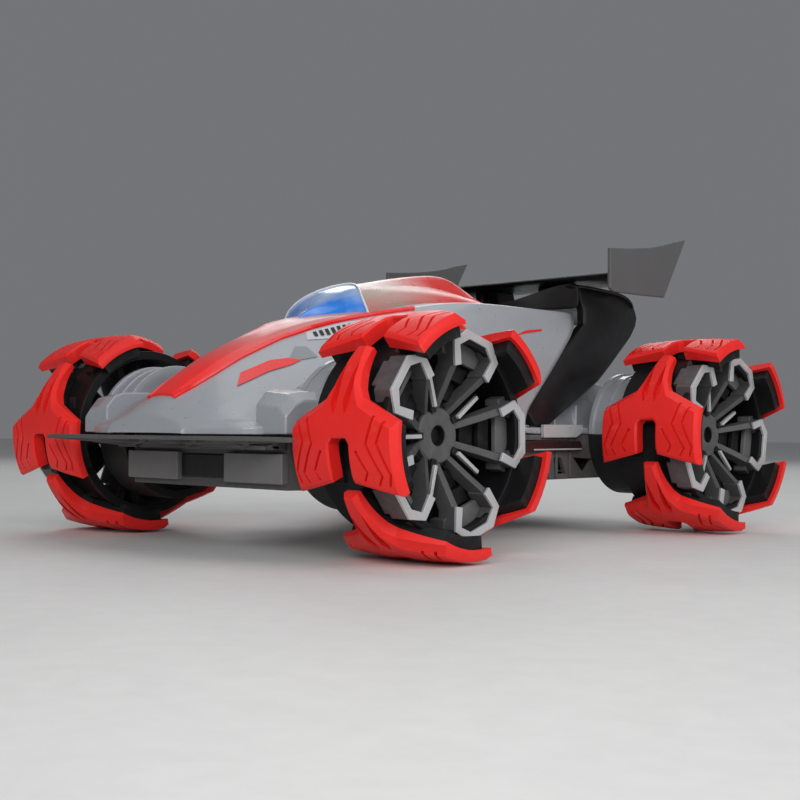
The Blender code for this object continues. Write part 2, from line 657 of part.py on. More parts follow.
def add_fairing():
    """The black hoop behind the body: two leaning side blades and the deck between them."""
    left = prism("rear_fairing", BLADE, BLADE_X, "fairing_black", "x")
    right = prism("blade_tool", BLADE, (-BLADE_X[1], -BLADE_X[0]), "fairing_black", "x")
    deck = prism("deck_tool", DECK_OUTLINE, (-BLADE_X[0] - 1.5, BLADE_X[0] + 1.5), "fairing_black", "x")
    return combine(left, [right, deck], "UNION")


def add_wing():
    prism("rear_wing", WING_FOIL, (-WING_HALF_SPAN, WING_HALF_SPAN), "fairing_black", "x")
    plate_span = (WING_HALF_SPAN + GAP, WING_HALF_SPAN + GAP + ENDPLATE_THICKNESS)
    for side, place in ((1, "left"), (-1, "right")):
        prism("endplate_" + place, ENDPLATE, plate_span, "plate_grey", "x", None, side)
    base = box("wing_mount", (-PYLON_X - 6, PYLON_X + 6), (98, 118), (123.4, 125.2), "fairing_black")
    post_span = (PYLON_X - 2, PYLON_X + 2)
    posts = [prism("post_tool", WING_POST, post_span, "fairing_black", "x", None, side) for side in (1, -1)]
    combine(base, posts, "UNION")


def main():
    clear_scene()
    add_tray()
    add_switch()
    add_power()
    add_bumper()
    add_body()
    add_canopy()
    add_rear_cover()
    add_fairing()
    add_wing()
    for side, hand in ((1, "left"), (-1, "right")):
        add_corner("front_" + hand, FRONT_AXLE_Y, side)
        add_corner("rear_" + hand, REAR_AXLE_Y, side)


main()
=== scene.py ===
"""Looks for the radio-controlled stunt car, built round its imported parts.

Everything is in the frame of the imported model: metres, +Z up, nose towards -Y, the car's left
towards +X. Dimensions in this file are millimetres, and object_of() turns them into metres.
"""
import math

import bmesh
import bpy
import numpy as np
from mathutils import Matrix, Vector
from mathutils.bvhtree import BVHTree


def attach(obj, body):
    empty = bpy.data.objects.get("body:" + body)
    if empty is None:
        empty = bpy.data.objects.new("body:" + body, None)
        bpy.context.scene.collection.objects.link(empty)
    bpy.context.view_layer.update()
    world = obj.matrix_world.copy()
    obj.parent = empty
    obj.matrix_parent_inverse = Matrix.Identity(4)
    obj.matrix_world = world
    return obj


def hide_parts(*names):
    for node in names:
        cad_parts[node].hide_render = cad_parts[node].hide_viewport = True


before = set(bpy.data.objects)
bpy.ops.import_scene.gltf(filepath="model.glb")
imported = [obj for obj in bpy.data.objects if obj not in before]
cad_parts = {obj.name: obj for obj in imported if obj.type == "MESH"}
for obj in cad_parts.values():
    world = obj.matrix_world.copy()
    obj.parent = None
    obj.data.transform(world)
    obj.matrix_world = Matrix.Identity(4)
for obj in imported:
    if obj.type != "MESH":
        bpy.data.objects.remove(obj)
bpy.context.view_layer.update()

MM = 0.001
WHEEL_X, AXLE_Z = 109.0, 52.0
AXLE_Y = {"front": -102.0, "rear": 116.0}
PHASE = {"front": 1.0, "rear": -9.0}
PETALS = 5
PITCH = 360.0 / PETALS
TYRE_RADIUS = 51.7
# How far a tread falls away towards its sides, at this distance from its middle.
CROWN_HALF, CROWN_DROP = 29.5, 1.5
SILL_Z = 52.2
SMOOTH_ANGLE, BEVEL_ANGLE = 32.0, 34.0
ORIGIN = (0.0, 0.0, 0.0)
PLACES = [(end, hand, sign) for hand, sign in (("left", 1), ("right", -1)) for end in ("front", "rear")]


# --- Shapes ---------------------------------------------------------------------------------

class Shape:
    """Points and faces of one or more solids, in millimetres."""

    def __init__(self):
        self.points = []
        self.faces = []
        self.marks = []

    def add(self, points, faces, mark=0):
        start = len(self.points)
        self.points += [tuple(p) for p in points]
        self.faces += [tuple(start + i for i in face) for face in faces]
        self.marks += [mark] * len(faces)

    def loft(self, rings, mark=0):
        """A solid through closed rings of points, capped at both ends."""
        count = len(rings[0])
        faces = [tuple(reversed(range(count)))]
        for k in range(len(rings) - 1):
            for i in range(count):
                j = (i + 1) % count
                faces.append((k * count + i, k * count + j, (k + 1) * count + j, (k + 1) * count + i))
        faces.append(tuple((len(rings) - 1) * count + i for i in range(count)))
        self.add([p for ring in rings for p in ring], faces, mark)

    def prism(self, outline, span, axis="x", mark=0):
        """An outline swept along an axis: (y, z) points for x, (x, z) for y, (x, y) for z."""
        place = {"x": lambda u, v, s: (s, u, v), "y": lambda u, v, s: (u, s, v),
                 "z": lambda u, v, s: (u, v, s)}[axis]
        self.loft([[place(u, v, s) for u, v in outline] for s in span], mark)

    def box(self, xs, ys, zs, mark=0):
        self.prism([(xs[0], ys[0]), (xs[1], ys[0]), (xs[1], ys[1]), (xs[0], ys[1])], zs, "z", mark)

    def grid(self, rows):
        """An open sheet through rows of points."""
        width = len(rows[0])
        faces = []
        for i in range(len(rows) - 1):
            for j in range(width - 1):
                a = i * width + j
                faces.append((a, a + 1, a + width + 1, a + width))
        self.add([p for row in rows for p in row], faces)

    def turned(self, profile, centre, steps=64, arc=(0.0, 360.0)):
        """A ring about a line along X through centre, from a closed profile of (x, radius)."""
        count = len(profile)
        whole = abs(arc[1] - arc[0]) >= 360.0
        turns = np.radians(np.linspace(arc[0], arc[1], steps + 1))[:steps if whole else None]
        points = [(centre[0] + x, centre[1] + r * math.cos(t), centre[2] + r * math.sin(t))
                  for t in turns for x, r in profile]
        faces = []
        for i in range(steps):
            ahead = (i + 1) % len(turns)
            for j in range(count):
                k = (j + 1) % count
                faces.append((i * count + j, i * count + k, ahead * count + k, ahead * count + j))
        if not whole:
            faces.append(tuple(range(count)))
            faces.append(tuple(steps * count + j for j in reversed(range(count))))
        self.add(points, faces)

    def rod(self, start, end, radius, steps=12, tip=None):
        """A round bar between two points, with an optional radius at its far end."""
        a, b = Vector(start), Vector(end)
        along = (b - a).normalized()
        side = along.orthogonal().normalized()
        up = along.cross(side)
        rings = []
        for point, r in ((a, radius), (b, radius if tip is None else tip)):
            rings.append([point + side * (r * math.cos(2 * math.pi * i / steps))
                          + up * (r * math.sin(2 * math.pi * i / steps)) for i in range(steps)])
        self.loft(rings)

    def tube(self, path, radius, steps=8):
        """A round bead along a path of points."""
        path = [Vector(p) for p in path]
        rings = []
        for i, point in enumerate(path):
            along = (path[min(i + 1, len(path) - 1)] - path[max(i - 1, 0)]).normalized()
            side = along.cross(Vector((0, 0, 1)))
            side = side.normalized() if side.length > 1e-3 else Vector((1, 0, 0))
            up = side.cross(along)
            rings.append([point + side * (radius * math.cos(2 * math.pi * k / steps))
                          + up * (radius * math.sin(2 * math.pi * k / steps)) for k in range(steps)])
        self.loft(rings)

    def both(self):
        """The shape and its mirror image on the car's right."""
        count = len(self.points)
        self.points += [(-x, y, z) for x, y, z in self.points]
        self.faces += [tuple(count + i for i in reversed(face)) for face in self.faces]
        self.marks += self.marks
        return self

    def moved(self, place):
        made = Shape()
        made.add([place(*p) for p in self.points], self.faces)
        made.marks = list(self.marks)
        return made


def object_of(name, shape, materials, smooth=SMOOTH_ANGLE):
    """A mesh object from a shape; marks choose among its materials."""
    mesh = bpy.data.meshes.new(name)
    mesh.from_pydata([(x * MM, y * MM, z * MM) for x, y, z in shape.points], [], shape.faces)
    materials = materials if isinstance(materials, (list, tuple)) else [materials]
    for made in materials:
        mesh.materials.append(made)
    for polygon, mark in zip(mesh.polygons, shape.marks):
        polygon.material_index = mark
    work = bmesh.new()
    work.from_mesh(mesh)
    bmesh.ops.remove_doubles(work, verts=work.verts, dist=2e-6)
    bmesh.ops.recalc_face_normals(work, faces=work.faces)
    work.to_mesh(mesh)
    work.free()
    obj = bpy.data.objects.new(name, mesh)
    bpy.context.scene.collection.objects.link(obj)
    mesh.shade_smooth()
    mesh.set_sharp_from_angle(angle=math.radians(smooth))
    return obj


def bevel(obj, width, segments):
    """Rounded edges where the faces turn sharply."""
    edge = obj.modifiers.new("edges", "BEVEL")
    edge.width = width * MM
    edge.segments = segments
    edge.limit_method = "ANGLE"
    edge.angle_limit = math.radians(BEVEL_ANGLE)
    edge.harden_normals = True
    return obj


def piece(name, shape, materials, body, replaces=(), width=0.0, smooth=SMOOTH_ANGLE, segments=2):
    """A finished piece: its mesh, soft edges, body, finish and the nodes it stands for."""
    obj = object_of(name, shape, materials, smooth)
    if width:
        bevel(obj, width, segments)
    return fitted(obj, body, replaces)


def fitted(obj, body, replaces=()):
    """The object given its body, with the nodes it stands for hidden."""
    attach(obj, body)
    if replaces:
        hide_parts(*replaces)
    return obj


def cut_away(base, tool):
    """The base with the tool's volume taken out of it."""
    cut = base.modifiers.new("cut", "BOOLEAN")
    cut.operation = "DIFFERENCE"
    cut.solver = "EXACT"
    cut.use_self = True
    cut.object = tool
    graph = bpy.context.evaluated_depsgraph_get()
    made = bpy.data.meshes.new_from_object(base.evaluated_get(graph))
    base.modifiers.clear()
    base.data = made
    bpy.data.objects.remove(tool, do_unlink=True)
    return base


# --- Materials ------------------------------------------------------------------------------

def nodes_of(material):
    tree = material.node_tree
    return tree, tree.nodes, tree.links


def make_node(tree, kind, **values):
    """A node with its settings and input values, by name."""
    node = tree.nodes.new(kind)
    for key, value in values.items():
        if hasattr(node, key):
            setattr(node, key, value)
        else:
            node.inputs[key.replace("_", " ")].default_value = value
    return node


def noise(tree, coords, scale, detail=4.0, roughness=0.55):
    node = make_node(tree, "ShaderNodeTexNoise", Scale=scale, Detail=detail, Roughness=roughness)
    tree.links.new(coords, node.inputs["Vector"])
    return node.outputs["Fac"]


def mapped(tree, value, low, high, start=0.3, end=0.7):
    node = make_node(tree, "ShaderNodeMapRange")
    tree.links.new(value, node.inputs["Value"])
    node.inputs["From Min"].default_value = start
    node.inputs["From Max"].default_value = end
    node.inputs["To Min"].default_value = low
    node.inputs["To Max"].default_value = high
    return node.outputs["Result"]


def combined(tree, operation, first, second, use_clamp=False):
    node = make_node(tree, "ShaderNodeMath", operation=operation, use_clamp=use_clamp)
    tree.links.new(first, node.inputs[0])
    tree.links.new(second, node.inputs[1])
    return node.outputs[0]


def mixed(tree, factor, first, second):
    """A colour mix whose inputs are colours or sockets."""
    node = tree.nodes.new("ShaderNodeMix")
    node.data_type = "RGBA"
    for index, value in ((0, factor), (6, first), (7, second)):
        if isinstance(value, bpy.types.NodeSocket):
            tree.links.new(value, node.inputs[index])
        else:
            node.inputs[index].default_value = value
    return node.outputs[2]


def shade(colour, gain=1.0):
    return tuple(min(1.0, c * gain) for c in colour[:3]) + (1.0,)


# Noise scales per metre, the depth of moulded grain in metres, and the lacquer's roughness.
MOTTLE_SCALE, GLOSS_SCALE, WEAR_AND_HIGHLIGHT_SCALE, GRAIN_SCALE, FLAKE_SCALE = 38.0, 150.0, 260.0, 900.0, 2600.0
RELIEF_DEPTH, COAT_ROUGHNESS = 0.0004, 0.08


def plastic(name, colour, roughness, metallic=0.0, coat=0.0, variation=0.1, grain=0.02,
            wear_and_highlight=0.0, wear_and_highlight_colour=None, paint=None, scale=1.0, specular=0.5):
    """Moulded or lacquered plastic: mottled colour, fine grain, uneven gloss, and worn edges that are
    lighter in patches, partly a painted highlight.
    """
    material = bpy.data.materials.new(name)
    material.use_nodes = True
    tree, nodes, links = nodes_of(material)
    shader = nodes["Principled BSDF"]
    coords = nodes.new("ShaderNodeTexCoord").outputs["Object"]
    colour = tuple(colour) + (1.0,)
    broad = mapped(tree, noise(tree, coords, MOTTLE_SCALE * scale, 5.0), 0.0, 1.0)
    base = mixed(tree, broad, shade(colour, 1.0 - variation), shade(colour, 1.0 + variation))
    if paint:
        base = paint(tree, coords, base)
    fine = noise(tree, coords, GRAIN_SCALE * scale, 3.0, 0.6)
    base = mixed(tree, mapped(tree, fine, 0.0, 0.12, 0.35, 0.75), base, shade(colour, 0.55))
    # Worn edges and a painted edge highlight: sharp convex edges, in random patches, blend towards the given
    # edge colour, which is mostly lighter.
    if wear_and_highlight:
        edge = make_node(tree, "ShaderNodeNewGeometry").outputs["Pointiness"]
        rubbed_and_lit = mapped(tree, edge, 0.0, 1.0, 0.53, 0.62)
        patch = mapped(tree, noise(tree, coords, WEAR_AND_HIGHLIGHT_SCALE), 0.0, wear_and_highlight, 0.4, 0.65)
        base = mixed(tree, combined(tree, "MULTIPLY", rubbed_and_lit, patch), base, shade(wear_and_highlight_colour))
    links.new(base, shader.inputs["Base Color"])
    gloss = mapped(tree, noise(tree, coords, GLOSS_SCALE * scale, 5.0), max(roughness - 0.07, 0.03),
                   roughness + 0.09)
    links.new(gloss, shader.inputs["Roughness"])
    shader.inputs["Metallic"].default_value = metallic
    shader.inputs["Specular IOR Level"].default_value = specular
    shader.inputs["Coat Weight"].default_value = coat
    shader.inputs["Coat Roughness"].default_value = COAT_ROUGHNESS
    relief = make_node(tree, "ShaderNodeBump", Strength=grain, Distance=RELIEF_DEPTH)
    links.new(fine, relief.inputs["Height"])
    links.new(relief.outputs["Normal"], shader.inputs["Normal"])
    return material


def along(tree, coords, axis, start, end):
    """0 to 1 between two places along an axis, in millimetres."""
    split = make_node(tree, "ShaderNodeSeparateXYZ")
    tree.links.new(coords, split.inputs[0])
    return mapped(tree, split.outputs[axis], 0.0, 1.0, start * MM, end * MM)


def streaks(tree, coords, scales, strength):
    """Clouds stretched along the car, either way from nothing by this strength."""
    stretched = make_node(tree, "ShaderNodeMapping", Scale=scales)
    tree.links.new(coords, stretched.inputs["Vector"])
    return mapped(tree, noise(tree, stretched.outputs[0], 1.0, 3.0), -strength, strength)


def pearl(tree, coords, base):
    """Fine pale flakes under the lacquer."""
    flakes = make_node(tree, "ShaderNodeTexVoronoi", Scale=FLAKE_SCALE)
    tree.links.new(coords, flakes.inputs["Vector"])
    return mixed(tree, mapped(tree, flakes.outputs["Distance"], 0.08, 0.0, 0.0, 0.35), base,
                 (0.92, 0.94, 0.98, 1))


def spine_fade(tree, coords, base):
    """Red at the nose, fading to a dusty pink towards the windshield."""
    fade = along(tree, coords, "Y", -140.0, -72.0)
    streak = mapped(tree, noise(tree, coords, 120.0), 0.75, 1.0)
    return mixed(tree, combined(tree, "MULTIPLY", fade, streak), base, (0.52, 0.28, 0.27, 1))


def windshield_fade(tree, coords, base):
    """Deep blue low down, pale towards the top and the rear edge."""
    rise = along(tree, coords, "Z", 114.0, 128.5)
    back = along(tree, coords, "Y", -60.0, -34.0)
    cloud = streaks(tree, coords, (60.0, 18.0, 90.0), 0.25)
    blend = combined(tree, "ADD", combined(tree, "MAXIMUM", rise, back), cloud, use_clamp=True)
    return mixed(tree, blend, base, (0.66, 0.80, 0.93, 1))


def roof_fade(tree, coords, base):
    """Smoky peach glass at the front, deepening to red towards the tail."""
    back = along(tree, coords, "Y", -34.0, 8.0)
    rise = along(tree, coords, "Z", 118.0, 138.0)
    front = mixed(tree, rise, (0.36, 0.24, 0.20, 1), (0.80, 0.72, 0.68, 1))
    blend = combined(tree, "ADD", back, streaks(tree, coords, (90.0, 14.0, 160.0), 0.3), use_clamp=True)
    return mixed(tree, blend, front, base)


def rubbed_red(tree, coords, base):
    """A little road dust, a darker red worked in at random over the treads."""
    dust = mapped(tree, noise(tree, coords, 75.0, 6.0), 0.0, 0.16, 0.5, 0.8)
    return mixed(tree, dust, base, (0.20, 0.03, 0.025, 1))


SILVER = plastic("body_silver", (0.36, 0.38, 0.41), 0.32, metallic=0.15, coat=0.25, variation=0.03,
                 grain=0.004, paint=pearl)
# A darker silver for painted shade: the side recesses are drawn as flat patches in it.
SHADE_SILVER = plastic("painted_shade_silver", (0.24, 0.255, 0.275), 0.36, metallic=0.25, coat=0.2, variation=0.04,
                      paint=pearl)
PALE_PANEL = plastic("panel_pale", (0.52, 0.545, 0.58), 0.3, metallic=0.15, coat=0.3, variation=0.03,
                     paint=pearl)
TRIM = plastic("trim_silver", (0.52, 0.52, 0.53), 0.34, metallic=0.2, coat=0.1, variation=0.04,
               grain=0.04, wear_and_highlight=0.2, wear_and_highlight_colour=(0.3, 0.3, 0.3))
RED = plastic("tread_red", (0.84, 0.022, 0.018), 0.42, variation=0.07, grain=0.12, wear_and_highlight=0.3,
              wear_and_highlight_colour=(0.95, 0.14, 0.11), paint=rubbed_red, specular=0.3)
GLOSS_RED = plastic("stripe_red", (0.80, 0.012, 0.012), 0.28, coat=0.4, variation=0.05, specular=0.35)
SPINE_RED = plastic("spine_red", (0.84, 0.02, 0.018), 0.36, coat=0.15, variation=0.05, paint=spine_fade,
                    specular=0.25)
SPOKE_GREY = plastic("spoke_grey", (0.075, 0.074, 0.076), 0.45, grain=0.15, wear_and_highlight=0.3,
                     wear_and_highlight_colour=(0.22, 0.22, 0.22), specular=0.35)
PANEL_GREY = plastic("panel_grey", (0.12, 0.118, 0.122), 0.5, variation=0.08, grain=0.15, wear_and_highlight=0.25,
                     wear_and_highlight_colour=(0.26, 0.26, 0.26), specular=0.3)
HUB_GREY = plastic("hub_grey", (0.085, 0.084, 0.086), 0.42, variation=0.08, grain=0.12, wear_and_highlight=0.3,
                   wear_and_highlight_colour=(0.24, 0.24, 0.24), specular=0.35)
RIM_BLACK = plastic("rim_black", (0.008, 0.008, 0.009), 0.5, variation=0.15, grain=0.12, wear_and_highlight=0.4,
                    wear_and_highlight_colour=(0.06, 0.06, 0.06), specular=0.2)
CHASSIS = plastic("chassis_grey", (0.095, 0.09, 0.09), 0.5, grain=0.2, wear_and_highlight=0.3,
                  wear_and_highlight_colour=(0.24, 0.23, 0.23), specular=0.3)
DARK_CHASSIS = plastic("chassis_dark", (0.014, 0.0135, 0.014), 0.5, variation=0.12, grain=0.2, wear_and_highlight=0.3,
                       wear_and_highlight_colour=(0.09, 0.09, 0.09), specular=0.3)
BLACK = plastic("fairing_black", (0.008, 0.008, 0.009), 0.42, coat=0.1, variation=0.08, grain=0.05,
                wear_and_highlight=0.2, wear_and_highlight_colour=(0.06, 0.06, 0.06), specular=0.3)
PLATE = plastic("plate_grey", (0.105, 0.105, 0.108), 0.55, variation=0.04, grain=0.1, wear_and_highlight=0.2,
                wear_and_highlight_colour=(0.22, 0.22, 0.22), specular=0.25)
BLOCK = plastic("block_grey", (0.19, 0.185, 0.185), 0.5, variation=0.06, grain=0.1, wear_and_highlight=0.2,
                wear_and_highlight_colour=(0.3, 0.3, 0.3), specular=0.3)
SKIRT = plastic("skirt_tint", (0.022, 0.012, 0.013), 0.32, coat=0.3, grain=0.05, wear_and_highlight=0.2,
                wear_and_highlight_colour=(0.12, 0.06, 0.06), specular=0.4)
BLUE = plastic("canopy_blue", (0.015, 0.22, 0.80), 0.12, coat=0.7, variation=0.05, grain=0.01,
               paint=windshield_fade)
ROOF = plastic("roof_red", (0.70, 0.03, 0.025), 0.32, coat=0.12, variation=0.06, grain=0.01,
               paint=roof_fade)
WHITE = plastic("pale_trim", (0.66, 0.70, 0.76), 0.24, coat=0.4, variation=0.04, grain=0.03)
STEEL = plastic("steel", (0.5, 0.5, 0.51), 0.32, metallic=1.0, variation=0.06, grain=0.1, wear_and_highlight=0.3,
                wear_and_highlight_colour=(0.8, 0.8, 0.8))
NYLON = plastic("gear_white", (0.62, 0.61, 0.57), 0.45, variation=0.04, grain=0.1, wear_and_highlight=0.2,
                wear_and_highlight_colour=(0.85, 0.84, 0.8))
BOARD = plastic("board_green", (0.02, 0.15, 0.06), 0.4, coat=0.2, variation=0.2, grain=0.2, wear_and_highlight=0.3,
                wear_and_highlight_colour=(0.3, 0.4, 0.2))
SLEEVE = plastic("battery_blue", (0.03, 0.08, 0.32), 0.35, coat=0.2, grain=0.1, wear_and_highlight=0.3,
                 wear_and_highlight_colour=(0.2, 0.3, 0.6))


def finish_nodes():
    """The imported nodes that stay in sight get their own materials."""
    finishes = (("gearbox_", SILVER), ("motor_", STEEL), ("pinion_", STEEL), ("axle_gear_", NYLON),
                ("axle_", STEEL), ("battery_pack", SLEEVE), ("battery_cover", CHASSIS),
                ("circuit_board", BOARD), ("power_switch", PLATE), ("chassis_tray", CHASSIS))
    for name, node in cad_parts.items():
        for start, material in finishes:
            if name.startswith(start):
                node.data.materials.clear()
                node.data.materials.append(material)
                break


# --- Treads ---------------------------------------------------------------------------------

TREAD_HALF = [(3.6, -43.4), (5.2, -32.0), (7.0, -24.0), (9.5, -19.0), (28.6, -9.4), (28.6, 22.4),
              (6.0, 16.3), (5.5, 13.0), (5.5, 0.5), (3.8, -1.8)]
TREAD_DROPS = [2.4, 1.6, 1.6, 2.4, 3.4, 1.4, 0.9, 0.7, 0.7, 0.7]
TREAD_FLOORS = [4.6, 5.6, 6.2, 6.6, 5.0, 4.6, 6.4, 6.4, 6.4, 6.4]
# How far the flat crown stands in from each edge, from the stem's side round to the notch.
TREAD_INSETS = [1.7, 1.9, 2.0, 4.2, 1.6, 1.5, 1.0, 1.0, 1.0]
TREAD_TIP_INSET, TREAD_NOTCH_INSET = 1.4, 1.0
TREAD_WALL, TREAD_SKIN = 2.2, 3.4
GROOVE_WIDTH, GROOVE_DEPTH, SLOT_DEPTH = 1.3, 1.4, 3.1
GROOVE_PATHS = [
    [(23.8, -8.6), (20.6, 0.0), (26.0, 12.5), (24.6, 17.5)],
    [(18.6, -10.6), (15.2, 0.5), (21.8, 13.0), (19.4, 17.2)],
    [(9.6, 3.0), (14.6, 11.6), (12.6, 15.4)],
]
STEM_SLOT = [(3.2, -11.0), (5.6, -16.0), (4.8, -24.0), (3.2, -35.0), (2.1, -24.0), (1.3, -16.0)]


def whole(half, turned_back=None):
    """A closed list from one half, run back up the other side."""
    other = reversed(half)
    return list(half) + [turned_back(item) if turned_back else item for item in other]


def inset(outline, distances):
    """The closed outline with each edge moved inwards by its own distance."""
    count = len(outline)
    distances = distances if isinstance(distances, (list, tuple)) else [distances] * count
    area = sum(outline[i][0] * outline[(i + 1) % count][1] - outline[(i + 1) % count][0] * outline[i][1]
               for i in range(count))
    turn = 1.0 if area > 0 else -1.0
    lines = []
    for i in range(count):
        a, b = Vector(outline[i]), Vector(outline[(i + 1) % count])
        way = (b - a).normalized()
        lines.append((a + Vector((-way.y, way.x)) * turn * distances[i], way))
    made = []
    for i in range(count):
        (p, u), (q, v) = lines[i - 1], lines[i]
        cross = u.x * v.y - u.y * v.x
        if abs(cross) < 0.05:
            made.append(tuple((q + p + u * (q - p).dot(u)) / 2))
            continue
        share = ((q.x - p.x) * v.y - (q.y - p.y) * v.x) / cross
        made.append(tuple(p + u * share))
    return made


def ribbon(path, width):
    """A closed outline of constant width round an open path."""
    left, right = [], []
    for i, point in enumerate(path):
        before = Vector(path[max(i - 1, 0)])
        after = Vector(path[min(i + 1, len(path) - 1)])
        lean = (after - before).normalized()
        side = Vector((-lean.y, lean.x)) * (width / 2)
        left.append((point[0] + side.x, point[1] + side.y))
        right.append((point[0] - side.x, point[1] - side.y))
    return left + right[::-1]


def triangulated(obj):
    work = bmesh.new()
    work.from_mesh(obj.data)
    bmesh.ops.triangulate(work, faces=work.faces)
    work.to_mesh(obj.data)
    work.free()
    return obj


def sliced(obj):
    """The object's mesh cut across and along at small steps, as a shape that will bend smoothly."""
    work = bmesh.new()
    work.from_mesh(obj.data)
    cuts = [((0, s * MM, 0), (0, 1, 0)) for s in np.arange(-42.0, 22.0, 3.0)]
    cuts += [((x * MM, 0, 0), (1, 0, 0)) for x in (-26, -20, -12, -4, 4, 12, 20, 26)]
    for point, normal in cuts:
        bmesh.ops.bisect_plane(work, geom=work.verts[:] + work.edges[:] + work.faces[:],
                               plane_co=point, plane_no=normal, dist=1e-6)
    bmesh.ops.remove_doubles(work, verts=work.verts, dist=1.5e-5)
    bmesh.ops.dissolve_degenerate(work, edges=work.edges, dist=1e-5)
    work.verts.ensure_lookup_table()
    shape = Shape()
    shape.add([v.co / MM for v in work.verts], [tuple(v.index for v in f.verts) for f in work.faces])
    work.free()
    bpy.data.objects.remove(obj, do_unlink=True)
    return shape


def mirrored_point(point):
    return (-point[0], point[1])


def flat_tread():
    """One claw tread laid out flat: x across the wheel, y along the turn, z outwards.

    It is a thin skin with a rim round its edge, and the stem is slotted.
    """
    outline = whole(TREAD_HALF, mirrored_point)
    insets = TREAD_INSETS + [TREAD_NOTCH_INSET] + TREAD_INSETS[::-1] + [TREAD_TIP_INSET]
    solid = Shape()
    solid.loft([[(x, s, -f) for (x, s), f in zip(outline, whole(TREAD_FLOORS))],
                [(x, s, -d) for (x, s), d in zip(outline, whole(TREAD_DROPS))],
                [(x, s, 0.0) for x, s in inset(outline, insets)]])
    tread = triangulated(object_of("tread_flat", solid, RED))
    cavity = Shape()
    cavity.prism(inset(outline, TREAD_WALL), (-18.0, -TREAD_SKIN), "z")
    slots = Shape()
    for sign in (1, -1):
        for path in GROOVE_PATHS:
            slots.prism([(sign * x, s) for x, s in ribbon(path, GROOVE_WIDTH)], (-GROOVE_DEPTH, 3.0), "z")
        slots.prism([(sign * x, s) for x, s in STEM_SLOT], (-SLOT_DEPTH, 3.0), "z")
    cut_away(tread, object_of("tread_hollow", cavity, RED))
    cut_away(tread, object_of("tread_slots", slots, RED))
    return sliced(tread)


def flat_carrier():
    """The black carrier under a claw, which joins it to the rim."""
    solid = Shape()
    solid.prism(inset(whole(TREAD_HALF, mirrored_point), TREAD_WALL + 0.25), (-10.2, -TREAD_SKIN - 0.1), "z")
    return sliced(triangulated(object_of("carrier_flat", solid, RIM_BLACK)))


def on_wheel(end, sign, turn):
    """A placing from wheel coordinates (x outwards, then y and z about the axle) to the car."""
    c, s = math.cos(math.radians(turn)), math.sin(math.radians(turn))
    axle_y = AXLE_Y[end]

    def place(x, u, v):
        return (sign * (WHEEL_X + x), axle_y + u * c - v * s, AXLE_Z + u * s + v * c)
    return place


def add_treads():
    flat, carrier = flat_tread(), flat_carrier()
    for end, hand, sign in PLACES:
        carriers = Shape()
        for k in range(PETALS):
            wheel = on_wheel(end, sign, PHASE[end] + PITCH * (k + 0.5) + 2.0)

            def bend(w, s, h):
                radius = TYRE_RADIUS + h - CROWN_DROP * (w / CROWN_HALF) ** 2
                turn = s / TYRE_RADIUS
                return wheel(w, radius * math.cos(turn), radius * math.sin(turn))
            name = f"{end}_{hand}_{k + 1}"
            piece("claw_" + name, flat.moved(bend), RED, f"wheel_{end}_{hand}",
                  replaces=["tread_" + name], width=0.3, smooth=40.0)
            bent = carrier.moved(bend)
            carriers.add(bent.points, bent.faces)
        piece(f"claw_carriers_{end}_{hand}", carriers, RIM_BLACK, f"wheel_{end}_{hand}")


# --- Rims -----------------------------------------------------------------------------------

PETAL_OUTER = [(26.5, 11.0), (36.2, 14.6), (43.2, 8.2)]
PETAL_INNER = [(28.2, 7.5), (35.7, 10.7), (39.9, 5.6)]


def polar_prism(shape, outline, span, turn):
    """An outline of (radius, across) points swept along X and turned about the axle."""
    c, s = math.cos(math.radians(turn)), math.sin(math.radians(turn))
    rings = []
    for x in span:
        rings.append([(x, r * c - w * s, r * s + w * c) for r, w in outline])
    shape.loft(rings)


def polar_bar(shape, stations, turn):
    """A bar through (radius, across, half width, x low, x high) stations, turned about the axle."""
    c, s = math.cos(math.radians(turn)), math.sin(math.radians(turn))
    rings = []
    for r, w, half, low, high in stations:
        corners = [(w - half, low), (w + half, low), (w + half, high), (w - half, high)]
        rings.append([(x, r * c - a * s, r * s + a * c) for a, x in corners])
    shape.loft(rings)


def petal_band():
    """The open C of a petal: outer edge out and back, then the inner edge back again."""
    outer = PETAL_OUTER + [(r, -w) for r, w in reversed(PETAL_OUTER)]
    inner = PETAL_INNER + [(r, -w) for r, w in reversed(PETAL_INNER)]
    return outer + inner[::-1]


def rim_core():
    """The barrel with its two lips, and the hub's boss."""
    shape = Shape()
    shape.turned([(-23.0, 38.0), (-20.5, 38.0), (-18.0, 39.4), (13.0, 39.4), (15.0, 38.2), (17.0, 38.2),
                  (17.0, 42.2), (14.5, 42.4), (12.5, 41.2), (-19.0, 41.2), (-21.0, 42.4), (-23.0, 42.4)],
                 ORIGIN, 80)
    shape.turned([(-13.0, 3.4), (2.0, 3.4), (2.0, 11.2), (-13.0, 11.2)], ORIGIN, 40)
    shape.turned([(-10.0, 11.0), (1.5, 11.0), (0.5, 14.8), (-10.0, 16.0)], ORIGIN, 48)
    return shape


def rim_legs():
    """Petal walls, the legs down to the hub, and the ribs out to the barrel."""
    shape = Shape()
    for k in range(PETALS):
        turn = PITCH * k
        polar_prism(shape, petal_band(), (8.5, 17.2), turn)
        for sign in (1, -1):
            polar_bar(shape, [(28.4, sign * 10.0, 1.7, 8.5, 16.9), (20.0, sign * 6.9, 1.6, 3.4, 11.6),
                              (10.2, sign * 3.6, 1.5, -0.5, 5.6)], turn)
            polar_bar(shape, [(31.0, sign * 13.6, 1.4, 6.0, 13.5), (38.8, sign * 15.2, 1.8, 4.0, 12.5)],
                      turn)
        polar_prism(shape, [(41.5, -6.0), (43.3, -6.0), (43.3, 6.0), (41.5, 6.0)], (6.0, 17.0), turn)
    return shape


